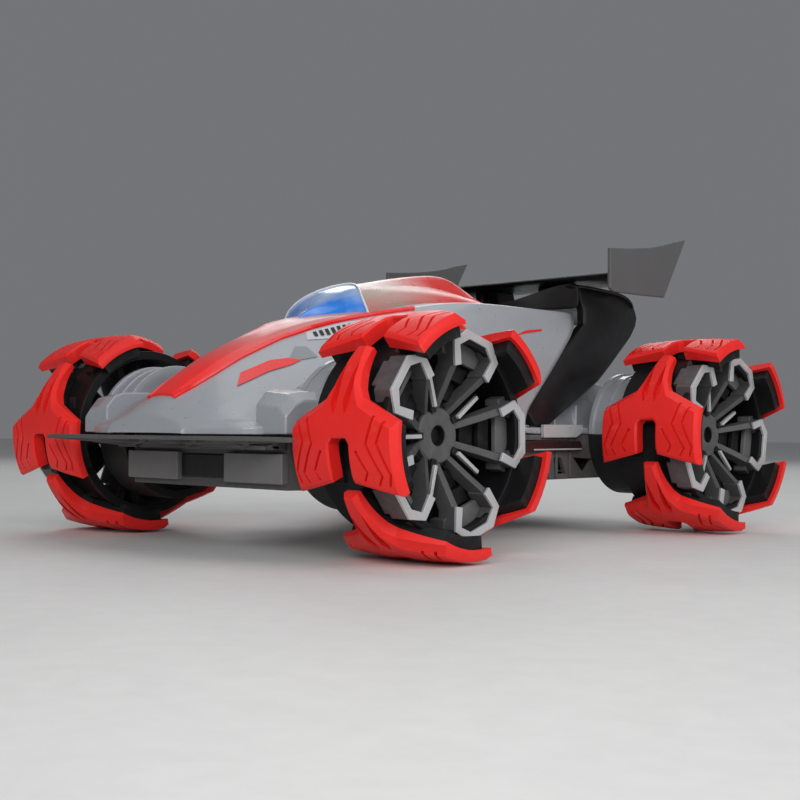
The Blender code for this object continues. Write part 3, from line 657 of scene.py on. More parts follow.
def rim_panels():
    """The pale floor at the outer end of each petal."""
    shape = Shape()
    for k in range(PETALS):
        polar_prism(shape, [(31.5, -8.8), (36.0, -10.6), (39.6, -5.6), (39.6, 5.6), (36.0, 10.6),
                            (31.5, 8.8)],
                    (8.8, 11.2), PITCH * k)
    return shape


def rim_steps():
    """Dark steps down from each petal's floor towards the hub."""
    shape = Shape()
    for k in range(PETALS):
        turn = PITCH * k
        polar_prism(shape, [(24.4, -6.8), (31.4, -8.9), (31.4, 8.9), (24.4, 6.8)], (5.0, 7.6), turn)
        polar_prism(shape, [(16.0, -4.6), (24.6, -6.8), (24.6, 6.8), (16.0, 4.6)], (1.0, 4.4), turn)
    shape.turned([(-11.0, 11.4), (4.6, 11.4), (4.6, 13.4), (3.6, 14.4), (-11.0, 14.8)], ORIGIN, 48)
    return shape


def rim_trims():
    """The silver faces of the petals, and the short bars between them."""
    shape = Shape()
    for k in range(PETALS):
        turn = PITCH * k
        polar_prism(shape, petal_band(), (17.1, 18.45), turn)
        polar_bar(shape, [(27.0, 0.0, 0.85, 8.2, 9.9), (12.6, 0.0, 0.85, 7.4, 9.2)], turn + PITCH / 2)
    return shape


def rim_fins():
    """Dark blades between the petals, from the hub towards the barrel."""
    shape = Shape()
    for k in range(PETALS):
        turn = PITCH * (k + 0.5)
        polar_bar(shape, [(28.5, 0.0, 1.1, -9.0, 8.4), (10.0, 0.0, 1.5, -9.0, 7.6)], turn)
        polar_bar(shape, [(38.6, 0.0, 2.6, -12.0, -3.0), (27.5, 0.0, 1.6, -12.0, -1.0)], turn)
        for sign in (1, -1):
            polar_prism(shape, [(30.0, sign * 7.0), (39.2, sign * 11.0), (39.2, sign * 18.5),
                                (35.5, sign * 17.5)],
                        (-14.0, -9.0), turn)
    return shape


def rim_hub():
    """The scalloped hub disc, with a bore for the axle's end."""
    shape = Shape()
    outline = []
    steps = 80
    for i in range(steps):
        a = 2 * math.pi * i / steps
        scallop = max(0.0, math.cos(5 * (a - math.radians(PITCH / 2)))) ** 3
        outline.append((a, 11.7 - 1.3 * scallop))
    rings = []
    for x, gain, hole in ((2.0, 1.0, None), (5.9, 1.0, None), (6.6, 0.94, None), (6.6, None, 4.5),
                          (6.2, None, 4.3), (2.5, None, 4.3)):
        reach = [(a, r * gain if gain else hole) for a, r in outline]
        rings.append([(x, r * math.cos(a), r * math.sin(a)) for a, r in reach])
    faces = []
    for k in range(len(rings)):
        ahead = (k + 1) % len(rings)
        for i in range(steps):
            j = (i + 1) % steps
            faces.append((k * steps + i, k * steps + j, ahead * steps + j, ahead * steps + i))
    shape.add([p for ring in rings for p in ring], faces)
    return shape


def rim_bore_shade():
    """The socket in the middle of the hub: a thin wall, closed by a black disc just outboard of the axle's
    end, a painted shadow in the hole.
    """
    shape = Shape()
    # Painted shadow: the black disc at the front of the bore covers the axle's end, so the hole reads dark.
    shape.turned([(3.1, 0.01), (3.5, 0.01), (3.5, 3.9), (6.3, 4.0), (6.3, 4.3), (3.1, 4.3)], ORIGIN, 32)
    return shape


def add_rims():
    parts = (("core", rim_core(), RIM_BLACK, 0.4), ("legs", rim_legs(), SPOKE_GREY, 0.35),
             ("panels", rim_panels(), PANEL_GREY, 0.4), ("steps", rim_steps(), RIM_BLACK, 0.3),
             ("trims", rim_trims(), TRIM, 0.25), ("fins", rim_fins(), RIM_BLACK, 0.3),
             ("hub", rim_hub(), HUB_GREY, 0.0), ("bore", rim_bore_shade(), RIM_BLACK, 0.0))
    for end, hand, sign in PLACES:
        wheel = on_wheel(end, sign, PHASE[end])
        for part, shape, material, width in parts:
            replaced = [f"rim_{end}_{hand}"] if part == "core" else []
            piece(f"rim_{part}_{end}_{hand}", shape.moved(wheel), material, f"wheel_{end}_{hand}",
                  replaces=replaced, width=width)


# --- Body shell -----------------------------------------------------------------------------

# Half sections from the sill up to the centre line: y, then (x, z) for each feature line.
BODY_CAGE = [
    (-167, [(27.4, SILL_Z), (27.4, 52.6), (25.4, 52.6), (21.6, 52.6), (17, 52.6), (13, 52.6), (9, 52.6),
            (5, 52.6),
            (0, 52.6)]),
    (-165.8, [(28, SILL_Z), (28, 54.6), (25.6, 56.4), (22, 57.8), (17, 58.8), (13, 59.8), (9, 60.5),
              (5, 60.9), (0, 61)]),
    (-157.5, [(55, SILL_Z), (55, 54.8), (50, 56.8), (43, 58), (31, 61.6), (20, 65), (8.2, 67.9),
              (6.2, 68.5), (0, 69)]),
    (-150, [(61, SILL_Z), (61, 55.2), (56.5, 57.4), (50, 59.2), (36.5, 65), (22, 69.4), (10.6, 72),
            (8.2, 73.6),
            (0, 74.8)]),
    (-139, [(61, SILL_Z), (61, 56), (57, 58.4), (52, 61.8), (38, 69), (24, 74.4), (12.2, 78.4),
            (9.6, 80.6), (0, 82)]),
    (-124, [(61, SILL_Z), (61, 57), (57.5, 59), (52.5, 65), (41, 71.5), (27, 80), (12.8, 87), (9.6, 89.4),
            (0, 90.6)]),
    (-102, [(61, SILL_Z), (61, 58), (58, 60), (54, 68), (45, 76), (32, 87), (15, 96.6), (10.9, 98.6),
            (0, 100)]),
    (-87, [(61, SILL_Z), (61, 58.4), (58.5, 61), (55.4, 71), (48.5, 81.5), (36, 93.2), (19.6, 101.9),
           (14, 103.8),
           (0, 105)]),
    (-74, [(61, SILL_Z), (61, 58.6), (59, 62), (56.5, 74), (50.5, 86.5), (40.5, 98.4), (25.6, 106.6),
           (19.4, 107.7),
           (0, 109)]),
    (-57, [(61, SILL_Z), (61, 58.8), (59.4, 63), (58, 78), (53.5, 92), (45, 103.4), (32, 109.6), (27, 111),
           (0, 113.4)]),
    (-38, [(61, SILL_Z), (61, 59), (60, 64), (59.4, 81), (56.5, 96.5), (50.5, 108), (41, 114), (24, 116.2),
           (0, 117)]),
    (-18, [(61, SILL_Z), (61, 59), (60.2, 64.5), (60.2, 83), (58.4, 99.5), (54, 111.6), (47, 117.6),
           (28, 118.6),
           (0, 119.4)]),
    (0, [(61, SILL_Z), (61, 59.2), (60.4, 65), (60.5, 84), (59, 100.4), (55.6, 112.8), (50.6, 119),
         (30, 120),
         (0, 120.6)]),
]
BODY_REAR = [(26, 61, SILL_Z), (27, 61, 59.2), (29.5, 60.6, 65), (46.5, 60.5, 82), (64, 59, 98.6),
             (78.5, 55.6, 110.5), (82.4, 50.6, 119.2), (82.4, 30, 120.3), (82.4, 0, 121)]
CREASED_LINES = {1: 0.8, 2: 0.35, 6: 0.7, 7: 0.45}
NOSE_CREASES = {3: 0.7, 4: 0.75}
NOSE_LIP_ROW, NOSE_ROWS = 1, 6


def full_row(half):
    """A whole row of (x, y, z) points from a half row that ends on the centre line."""
    return half + [(-x, y, z) for x, y, z in reversed(half[:-1])]


def body_rows():
    rows = [full_row([(x, y, z) for x, z in half]) for y, half in BODY_CAGE]
    ahead = rows[-1]
    rear = full_row([(x, y, z) for y, x, z in BODY_REAR])
    rows.append([tuple((a + b) / 2 for a, b in zip(p, q)) for p, q in zip(ahead, rear)])
    rows.append(rear)
    return rows


def cage_object(name, rows, material, skin, creases, level=2, front_creases=None, lip_row=None):
    """A smooth panel from a cage of rows, creased along columns, thickened inwards."""
    shape = Shape()
    shape.grid(rows)
    obj = object_of(name, shape, material, 60.0)
    width = len(rows[0])
    weights = obj.data.attributes.new("crease_edge", "FLOAT", "EDGE")
    for edge in obj.data.edges:
        a, b = sorted(edge.vertices)
        row = a // width
        if b - a == width:
            column = min(a % width, width - 1 - a % width)
            weights.data[edge.index].value = creases.get(column, 0.0)
            if front_creases and column in front_creases and 0 < row < NOSE_ROWS:
                weights.data[edge.index].value = front_creases[column]
        if row == b // width and row in (0, lip_row, len(rows) - 1):
            weights.data[edge.index].value = 0.85 if row == lip_row else 1.0
    skin_and_smooth(obj, skin, level)
    return obj


def skin_and_smooth(obj, skin, level):
    smooth = obj.modifiers.new("smooth", "SUBSURF")
    smooth.levels = level
    smooth.render_levels = level
    thick = obj.modifiers.new("skin", "SOLIDIFY")
    thick.thickness = skin * MM
    thick.offset = -1 if sum(p.normal.z * p.area for p in obj.data.polygons) > 0 else 1


# Where the lines start that drop a mark on the body: beside it and above it.
BESIDE_X, ABOVE_Z = 90.0, 160.0
PATCH_STRIPS = 3


def surface_of(obj):
    """A tree for dropping points on an object's finished surface."""
    graph = bpy.context.evaluated_depsgraph_get()
    made = obj.evaluated_get(graph)
    mesh = made.to_mesh()
    tree = BVHTree.FromPolygons([v.co.copy() for v in mesh.vertices],
                                [tuple(p.vertices) for p in mesh.polygons])
    made.to_mesh_clear()
    return tree


def dropped(tree, origin, towards, lift):
    """Where a line meets the surface, lifted off it, in millimetres."""
    way = Vector(towards).normalized()
    hit, normal, _, _ = tree.ray_cast(Vector(origin) * MM, way)
    if hit is None:
        raise ValueError(f"no surface under {origin}")
    if normal.dot(way) > 0:
        normal = -normal
    point = hit / MM + normal * lift
    return (point.x, point.y, point.z)


def side_patch(shape, tree, outline, lift, steps):
    """A thin patch on the body's side: rows between a lower and an upper edge in (y, z)."""
    lower, upper = outline
    rows = []
    for i in range(steps + 1):
        t = i / steps
        low = at_share(lower, t)
        high = at_share(upper, t)
        row = []
        for k in range(PATCH_STRIPS + 1):
            y = low[0] + (high[0] - low[0]) * k / PATCH_STRIPS
            z = low[1] + (high[1] - low[1]) * k / PATCH_STRIPS
            row.append(dropped(tree, (BESIDE_X, y, z), (-1, 0, 0), lift))
        rows.append(row)
    shape.grid(rows)


def at_share(path, t):
    """The point a share of the way along a path, by its length."""
    points = [Vector(p) for p in path]
    lengths = [(b - a).length for a, b in zip(points, points[1:])]
    target = t * sum(lengths)
    for a, b, length in zip(points, points[1:], lengths):
        if target <= length or length == lengths[-1] and b is points[-1]:
            share = min(target / max(length, 1e-9), 1.0)
            return a + (b - a) * share
        target -= length
    return points[-1]


SLASH = ([(-137.2, 73.0), (-119.5, 80.1), (-109.7, 83.0), (-103.7, 85.4)],
         [(-137.2, 73.2), (-134.0, 75.8), (-130.2, 79.2), (-115.0, 85.3), (-106.9, 86.6), (-103.7, 85.8)])
# Painted shade: flat darker patches where the shell has recesses, as lower and upper (y, z) edges.
NOSE_RECESS_SHADE = ([(-109.0, 84.6), (-95.8, 87.4)], [(-100.0, 92.4), (-96.0, 92.5)])
SIDE_RECESS_SHADE = ([(-60.0, 70.0), (-20.0, 70.0)], [(-52.0, 84.0), (-26.0, 88.0)])
SWOOSH = ([(22.0, 102.6), (31.0, 104.6), (46.0, 106.6)], [(22.0, 102.8), (31.0, 105.9), (46.0, 107.6)])


# The spine's first cage row and edge column, and its lift off the shell.
SPINE_TIP, SPINE_EDGE, SPINE_LIFT = 2, 6, 0.9


def add_body():
    rows = body_rows()
    shell = cage_object("body_skin", rows, SILVER, skin=1.6, creases=CREASED_LINES, level=3,
                        front_creases=NOSE_CREASES, lip_row=NOSE_LIP_ROW)
    fitted(shell, "chassis", ["body_shell"])
    tree = surface_of(shell)

    spine_rows = [[(x, y, z + SPINE_LIFT) for x, y, z in row[SPINE_EDGE:SPINE_EDGE + 5]]
                  for row in rows[SPINE_TIP:SPINE_TIP + 8]]
    spine = cage_object("spine_skin", spine_rows, SPINE_RED, skin=1.4, creases={0: 1.0, 1: 0.8}, level=3)
    fitted(spine, "chassis", ["nose_spine"])

    edges = Shape()
    foot = [row[SPINE_EDGE] for row in rows[SPINE_TIP:SPINE_TIP + 9]]
    smooth_foot = [at_share(foot, i / 40) for i in range(41)]
    edges.tube([dropped(tree, (p.x + 0.6, p.y + 0.6, p.z + 20), (0, 0, -1), 0.3) for p in smooth_foot], 1.35)
    piece("spine_edges", edges.both(), GLOSS_RED, "chassis")

    marks = Shape()
    side_patch(marks, tree, SLASH, 0.5, 20)
    side_patch(marks, tree, SWOOSH, 0.35, 10)
    piece("side_slashes", marks.both(), GLOSS_RED, "chassis")

    # Painted shade: darker silver patches on the shell stand in for the recesses.
    recess_shade = Shape()
    side_patch(recess_shade, tree, NOSE_RECESS_SHADE, 0.35, 6)
    side_patch(recess_shade, tree, SIDE_RECESS_SHADE, 0.3, 8)
    piece("side_recess_shades", recess_shade.both(), SHADE_SILVER, "chassis")
    add_hatching(tree)
    add_body_details()


# One slanted mark's corners: shares of the band's length and of its width.
HATCH_MARK = ((0.0, 0.22), (0.055, 0.22), (0.085, 0.74), (0.03, 0.74))


def add_hatching(tree):
    """A pale band beside the windshield, with a row of plain slanted marks."""
    ground = Shape()
    upper = [(21.0, -89.8), (26.0, -79.0), (33.5, -62.0)]
    lower = [(25.0, -93.0), (33.0, -83.0), (40.0, -66.0)]

    def on_band(share, across, lift):
        a, b = at_share(upper, share), at_share(lower, share)
        point = a + (b - a) * across
        return dropped(tree, (point.x, point.y, ABOVE_Z), (0, 0, -1), lift)

    ground.grid([[on_band(i / 10, k / PATCH_STRIPS, 0.3) for k in range(PATCH_STRIPS + 1)]
                 for i in range(11)])
    piece("hatch_ground", ground.both(), PALE_PANEL, "chassis")
    marks = Shape()
    for i in range(9):
        corners = [on_band(0.10 + 0.095 * i + step, across, 0.65) for step, across in HATCH_MARK]
        marks.add(corners, [(0, 1, 2, 3)])
    piece("hatch_marks", marks.both(), BLACK, "chassis")


def add_body_details():
    """Shoulder boxes and small side bumps."""
    shoulders = Shape()
    rings = []
    for y, x_in, x_out, top in ((-149.0, 55.0, 74.0, 63.4), (-144.0, 55.0, 74.6, 68.8),
                                (-139.0, 55.0, 74.8, 70.2),
                                (-121.0, 55.0, 74.8, 70.6), (-108.0, 55.0, 70.0, 70.6)):
        rings.append([(x_in, y, SILL_Z + 0.1), (x_out, y, SILL_Z + 0.1), (x_out, y, top - 4.0),
                      (x_out - 4.5, y, top), (x_in, y, top + 1.4)])
    shoulders.loft(rings)
    piece("shoulder_boxes", shoulders.both(), SILVER, "chassis", width=0.9, smooth=30.0,
          segments=3)

    bumps = Shape()
    bumps.rod((48.0, -117.0, 68.5), (46.0, -99.5, 76.6), 4.6, 28, 4.6)
    bumps.rod((46.0, -100.0, 76.4), (45.5, -95.2, 78.4), 5.4, 32, 3.0)
    piece("side_bumps", bumps.both(), SILVER, "chassis", width=1.1, smooth=30.0,
          segments=3)


# --- Canopy ---------------------------------------------------------------------------------

# The centre line of the windshield: share of the way up, y, z.
WINDSHIELD_CENTRE = [(0.0, -78.0, 107.4), (0.16, -73.0, 111.2), (0.45, -62.4, 117.6), (0.72, -52.4, 123.6),
                     (0.88, -46.8, 126.6), (1.0, -43.4, 127.9)]
ARC_HALF, ARC_FOOT, ARC_TOP = 30.0, (-57.8, 110.0), (-43.4, 127.9)
# How quickly an arch falls from its middle, at the tip and at the arc, and how the glass widens.
TIP_SHARPNESS, ARC_SHARPNESS, TIP_SPREAD = 1.5, 0.72, 1.25
WINDSHIELD_STEPS, ARCH_STEPS, PIPING_STEPS, PIPING_RADIUS = 22, 12, 24, 0.6


def arch(x_share, sharpness=ARC_SHARPNESS):
    """How far back and how far up an arch has come at a share of its half width."""
    lean = math.cos(math.pi / 2 * min(abs(x_share), 1.0)) ** 1.7
    rise = max(0.0, 1.0 - x_share ** 2) ** sharpness
    return lean, rise


def arc_point(x_share):
    """The leaning arc where the windshield meets the roof."""
    lean, rise = arch(x_share)
    return (ARC_HALF * x_share, ARC_FOOT[0] + (ARC_TOP[0] - ARC_FOOT[0]) * lean,
            ARC_FOOT[1] + (ARC_TOP[1] - ARC_FOOT[1]) * rise)


def add_windshield():
    rows = []
    shares, ys, zs = zip(*WINDSHIELD_CENTRE)
    for i in range(WINDSHIELD_STEPS + 1):
        t = i / WINDSHIELD_STEPS
        centre_y, centre_z = np.interp(t, shares, ys), np.interp(t, shares, zs)
        foot_y, foot_z = ys[0] + (ARC_FOOT[0] - ys[0]) * t, zs[0] + (ARC_FOOT[1] - zs[0]) * t
        spread = ARC_HALF * max(t, 0.02) ** TIP_SPREAD
        sharpness = TIP_SHARPNESS + (ARC_SHARPNESS - TIP_SHARPNESS) * t
        row = []
        for k in range(2 * ARCH_STEPS + 1):
            share = math.sin(math.pi / 2 * (-1 + k / ARCH_STEPS))
            lean, rise = arch(share, sharpness)
            row.append((spread * share, foot_y + (centre_y - foot_y) * lean,
                        foot_z + (centre_z - foot_z) * rise))
        rows.append(row)
    shape = Shape()
    shape.grid(rows)
    glass = object_of("windshield_skin", shape, BLUE, 60.0)
    skin_and_smooth(glass, 1.2, 1)
    fitted(glass, "chassis", ["windshield"])
    piping = Shape()
    path = [arc_point(math.sin(math.pi / 2 * (-1 + k / PIPING_STEPS)) * 0.995)
            for k in range(2 * PIPING_STEPS + 1)]
    piping.tube([(x * 1.01, y, z + 0.25) for x, y, z in path], PIPING_RADIUS)
    piece("windshield_piping", piping, WHITE, "chassis")


# Roof stations: y at the edge and at the crest, half width, edge height, shoulder (x, z), crest height.
ROOF_STATIONS = [
    (-44, -31, 31.5, 112.2, (17, 125.6), 129.6), (-30, -15.5, 32, 114.2, (14.5, 128.4), 133.0),
    (-8, 6, 32, 117.0, (15, 129.4), 136.6), (14, 20, 31, 118.8, (15, 128.0), 138.0),
    (30, 32, 28, 120.0, (14.5, 126.2), 135.6), (46, 46, 23, 120.8, (13, 124.4), 129.0),
    (58, 58, 16, 121.4, (10, 123.4), 125.2), (65, 65, 9.5, 121.8, (6, 122.8), 123.9),
]
CREST_HALF = 7.5


def roof_row(edge_y, crest_y, half, edge_z, shoulder, crest_z):
    """Half a roof section: edge, flank, shoulder crease, the crest's side and its top."""
    x, z = shoulder
    crest = min(CREST_HALF, x * 0.7)
    points = [(half, edge_z), (half * 0.96, edge_z + 0.26 * (z - edge_z)),
              (half * 0.62 + x * 0.38, edge_z + 0.7 * (z - edge_z)), (x, z),
              (x * 0.55 + crest * 0.45, z + 0.45 * (crest_z - z)), (crest, crest_z - 0.5),
              (crest / 2, crest_z - 0.1), (0.0, crest_z)]
    return [(px, edge_y + (crest_y - edge_y) * (pz - edge_z) / (crest_z - edge_z), pz) for px, pz in points]


def add_roof():
    first = []
    for x in (30.0, 29.4, 25.2, 17.5, 12.0, 7.5, 3.8, 0.0):
        at = arc_point(x / ARC_HALF)
        first.append((at[0], at[1] + 0.3, at[2] - 0.1))
    rows = [full_row(first)] + [full_row(roof_row(*station)) for station in ROOF_STATIONS]
    roof = cage_object("roof_skin", rows, ROOF, skin=1.2, creases={3: 0.55, 5: 0.35}, level=3)
    fitted(roof, "chassis", ["roof_cover"])


# --- Rear -----------------------------------------------------------------------------------

# The blade's outline, as (y, z), from its foot round under the wing.
BLADE = [(28.4, 66.0), (37.5, 56.2), (48.0, 56.2), (72.0, 68.4), (97.5, 81.2), (110.0, 90.2), (124.0, 100.8),
         (133.4, 108.0), (139.4, 114.6), (141.4, 119.6), (140.0, 124.6), (135.0, 129.0), (121.0, 133.0),
         (78.0, 133.8), (84.6, 129.4), (88.0, 121.0), (87.4, 113.2), (76.0, 104.8), (65.0, 96.6),
         (47.0, 82.0)]


def leaning(y, z, inset_by):
    """A point on the blade, whose top leans in over the engine deck."""
    return (60.4 - (z - 56.0) * 0.085 - inset_by, y, z)


# The hoop's skin between the blades: x of each column, then for each row its (y, z) points.
HOOP_COLUMNS = [55.0, 50.0, 42.0, 34.0, 26.0, 18.0, 8.0, 0.0]
HOOP_ROWS = [
    [(82.4, 121.6), (81.4, 121.4), (79.4, 121.2), (76.4, 121.2), (72.4, 121.4), (69.0, 121.6), (67.6, 121.8),
     (67.4, 121.8)],
    [(81.0, 133.6), (79.6, 135.6), (77.2, 134.4), (74.0, 131.8), (70.2, 128.9), (66.8, 126.2), (65.4, 124.9),
     (65.2, 124.6)],
    [(86.0, 134.6), (86.0, 135.4), (85.0, 133.6), (83.0, 131.0), (80.0, 128.2), (77.0, 126.0), (76.0, 124.8),
     (76.0, 124.5)],
    [(98.0, 134.2), (98.0, 134.4), (98.0, 130.4), (97.0, 126.8), (96.0, 124.8), (95.0, 123.6), (95.0, 123.2),
     (95.0, 123.2)],
    [(122.0, 133.4), (122.0, 132.8), (122.0, 128.0), (122.0, 125.0), (122.0, 123.8), (122.0, 123.2),
     (122.0, 123.0), (122.0, 123.0)],
    [(134.0, 130.6), (134.0, 130.0), (134.0, 125.6), (134.0, 123.0), (134.0, 122.0), (134.0, 121.6),
     (134.0, 121.4), (134.0, 121.4)],
    [(139.0, 124.0), (139.0, 123.4), (139.0, 120.8), (139.0, 119.6), (139.0, 119.0), (139.0, 118.8),
     (139.0, 118.8), (139.0, 118.8)],
]


def add_fairing():
    shape = Shape()
    inner = inset(BLADE, 1.6)
    rings = [[leaning(y, z, 5.4) for y, z in BLADE], [leaning(y, z, 1.0) for y, z in BLADE],
             [leaning(y, z, 0.0) for y, z in inner]]
    shape.loft(rings)
    shape.both()
    piece("fairing_blades", shape, BLACK, "chassis", replaces=["rear_fairing"],
          width=0.5, smooth=40.0)
    rows = [full_row([(x, y, z) for x, (y, z) in zip(HOOP_COLUMNS, row)]) for row in HOOP_ROWS]
    deck = cage_object("fairing_deck", rows, BLACK, skin=1.4, creases={1: 0.5}, level=3, lip_row=1)
    fitted(deck, "chassis")
    ribs = Shape()
    for y in (97.0, 112.0, 127.0):
        ribs.box((-14.0, 14.0), (y, y + 1.6), (122.6, 125.2))
    piece("deck_ribs", ribs, BLACK, "chassis", width=0.3)


# The wing's section and the endplate's outline, as (y, z).
WING_FOIL = [(71.8, 137.5), (72.8, 136.8), (84.0, 136.5), (100.0, 136.4), (116.0, 136.8), (128.0, 137.6),
             (128.2, 138.6), (116.0, 139.2), (100.0, 139.7), (88.0, 139.7), (73.0, 138.5)]
WINGLET = [(71.2, 129.8), (74.7, 128.0), (103.0, 128.2), (124.8, 128.7), (147.7, 163.7), (134.7, 160.9),
           (123.4, 158.0), (108.7, 155.1), (94.4, 153.3), (80.6, 152.0), (71.3, 151.2)]


def add_wing():
    wing = Shape()
    wing.prism(WING_FOIL, (-80.6, 80.6), "x")
    piece("wing_foil", wing, BLACK, "chassis", replaces=["rear_wing"], width=0.3,
          smooth=40.0)
    brackets = Shape()
    for y in (80.0, 96.0, 112.0):
        brackets.box((76.5, 81.0), (y, y + 3.0), (131.5, 137.0))
    brackets.box((79.2, 81.0), (76.0, 120.0), (130.8, 137.0))
    piece("wing_brackets", brackets.both(), BLACK, "chassis", width=0.4)
    for sign, hand in ((1, "left"), (-1, "right")):
        shape = Shape()
        edge = inset(WINGLET, 0.5)
        shape.loft([[(sign * x, y, z) for y, z in ring] for x, ring in
                    ((81.0, edge), (81.4, WINGLET), (82.8, WINGLET), (83.2, edge))])
        piece("winglet_" + hand, shape, PLATE, "chassis", replaces=["endplate_" + hand],
              width=0.25, smooth=30.0)

    mount = Shape()
    mount.prism([(-27, 123.5), (27, 123.5), (25.6, 125.3), (-25.6, 125.3)], (98.0, 118.0), "y")
    for x in (15.0, -23.0):
        mount.prism([(100.0, 124.8), (117.0, 124.8), (113.0, 136.8), (97.0, 136.8)], (x, x + 8.0), "x")
    for sign in (1, -1):
        mount.rod((sign * 32.0, 104.0, 125.0), (sign * 32.0, 104.0, 136.8), 4.2, 24)
    piece("wing_posts", mount, BLACK, "chassis", replaces=["wing_mount"], width=0.8,
          smooth=30.0, segments=3)


def add_rear_cover():
    rows = []
    for y, low, high, half in ((25, 57.6, 58.6, 48), (44, 59, 61, 48), (62, 63, 67, 47), (78, 69, 76, 46),
                               (98, 80, 84, 44), (134, 80, 84, 44), (147.4, 62, 66, 46)):
        half_row = [(60.8, y, SILL_Z), (60.8, y, 55.4), (half + 3.5, y, 56.4), (half, y, low),
                    (half - 9, y, high), (half - 24, y, high + 0.8), (0, y, high + 1.0)]
        rows.append(full_row(half_row))
    cover = cage_object("rear_cover_skin", rows, SILVER, skin=1.6,
                        creases={1: 0.9, 2: 0.8, 3: 0.7, 4: 0.5}, level=2)
    fitted(cover, "chassis", ["rear_cover"])
    seams = Shape()
    for y in (66.0, 86.0):
        seams.box((44.0, 50.5), (y, y + 1.2), (57.0, 68.0))
    piece("rear_cover_seams", seams.both(), WHITE, "chassis", width=0.3)


# --- Drums, chassis, bumper -----------------------------------------------------------------

# The drum's inboard cover: x and radius, from the axle's hole out to the lip.
DRUM_FACE = [(62.4, 4.6), (62.4, 9.0), (63.2, 10.0), (63.2, 26.0), (62.0, 28.0), (61.6, 32.4), (62.4, 33.1),
             (64.6, 33.1), (64.6, 4.6)]


def add_drums():
    """The housing's raised rim and its dark lower half."""
    for end, hand, sign in PLACES:
        centre = (0.0, AXLE_Y[end], AXLE_Z)
        lower = Shape()
        profile = [(60.9, 29.0), (82.3, 29.0), (82.3, 33.25), (60.9, 33.25)]
        lower.turned([(sign * x, r) for x, r in profile], centre, 48, (180.0, 360.0))
        piece(f"drum_lower_{end}_{hand}", lower, DARK_CHASSIS, "chassis", width=0.4)
        rim = Shape()
        for x0, x1, low, high in ((61.6, 64.4, 33.0, 34.0), (79.6, 82.4, 33.0, 34.0),
                                  (71.4, 72.4, 33.0, 33.5)):
            rim.turned([(sign * x0, low - 1), (sign * x1, low - 1), (sign * x1, high), (sign * x0, high)],
                       centre, 48, (0.0, 180.0))
        piece(f"drum_rim_{end}_{hand}", rim, SILVER, "chassis", width=0.4)
        for part, arc, material in (("upper", (0.0, 180.0), SILVER),
                                    ("under", (180.0, 360.0), DARK_CHASSIS)):
            face = Shape()
            face.turned([(sign * x, r) for x, r in DRUM_FACE], centre, 48, arc)
            piece(f"drum_face_{part}_{end}_{hand}", face, material, "chassis", width=0.3)


def add_chassis():
    """Front blocks, sill strips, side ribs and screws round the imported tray."""
    blocks = Shape()
    for sign in (1, -1):
        blocks.prism([(sign * 17.0, 30.6), (sign * 56.5, 30.6), (sign * 56.5, 43.8), (sign * 17.0, 43.8)],
                     (-135.6, -131.6), "y")
    blocks.box((-17.5, 17.5), (-133.0, -131.0), (32.0, 42.8), 1)
    piece("front_blocks", blocks, [BLOCK, DARK_CHASSIS], "chassis", width=0.7,
          smooth=30.0, segments=3)

    skirt = Shape()
    skirt.prism([(24.0, 42.9), (72.7, 42.9), (72.7, 46.4), (70.6, 48.6), (24.0, 48.6)], (61.0, 64.2), "x")
    skirt.prism([(-62.0, 43.4), (24.0, 43.4), (24.0, 48.6), (-62.0, 48.6)], (61.0, 62.6), "x")
    piece("side_skirts", skirt.both(), SKIRT, "chassis", width=0.5)
    plates = Shape()
    plates.prism([(40.0, 50.2), (68.6, 50.2), (73.4, 52.4), (75.0, 55.0), (74.0, 57.0), (40.0, 57.0)],
                 (61.0, 63.4), "x")
    plates.prism([(30.0, 43.6), (72.0, 43.6), (72.0, 44.4), (30.0, 44.4)], (64.0, 64.5), "x")
    piece("sill_plates", plates.both(), TRIM, "chassis", width=0.4)

    ribs = Shape()
    for y in (-60.0, -48.0, -36.0, 45.5, 51.8, 64.0):
        ribs.box((61.0, 62.2), (y, y + 1.6), (29.0, 42.6))
    for y in (-20.0, 12.0):
        ribs.rod((60.8, y, 36.0), (62.4, y, 36.0), 4.0, 24, 3.6)
    piece("tray_ribs", ribs.both(), CHASSIS, "chassis", width=0.3)

    screws = Shape()
    for x, y in ((50.0, -118.0), (50.0, -66.0), (50.0, 66.0), (50.0, 138.0)):
        screws.rod((x, y, 28.2), (x, y, 27.5), 2.6, 20, 2.1)
    piece("floor_screws", screws.both(), STEEL, "chassis")


def rail(shape, points, width, thickness, taper=0.0):
    """A flat bar through (x, y, top z) points, narrowing towards its far end."""
    rings = []
    for i, (x, y, top) in enumerate(points):
        share = i / (len(points) - 1)
        reach = width * (1 - taper * share)
        rings.append([(x, y, top - thickness), (x, y + reach, top - thickness), (x, y + reach, top),
                      (x, y, top)])
    shape.loft(rings)


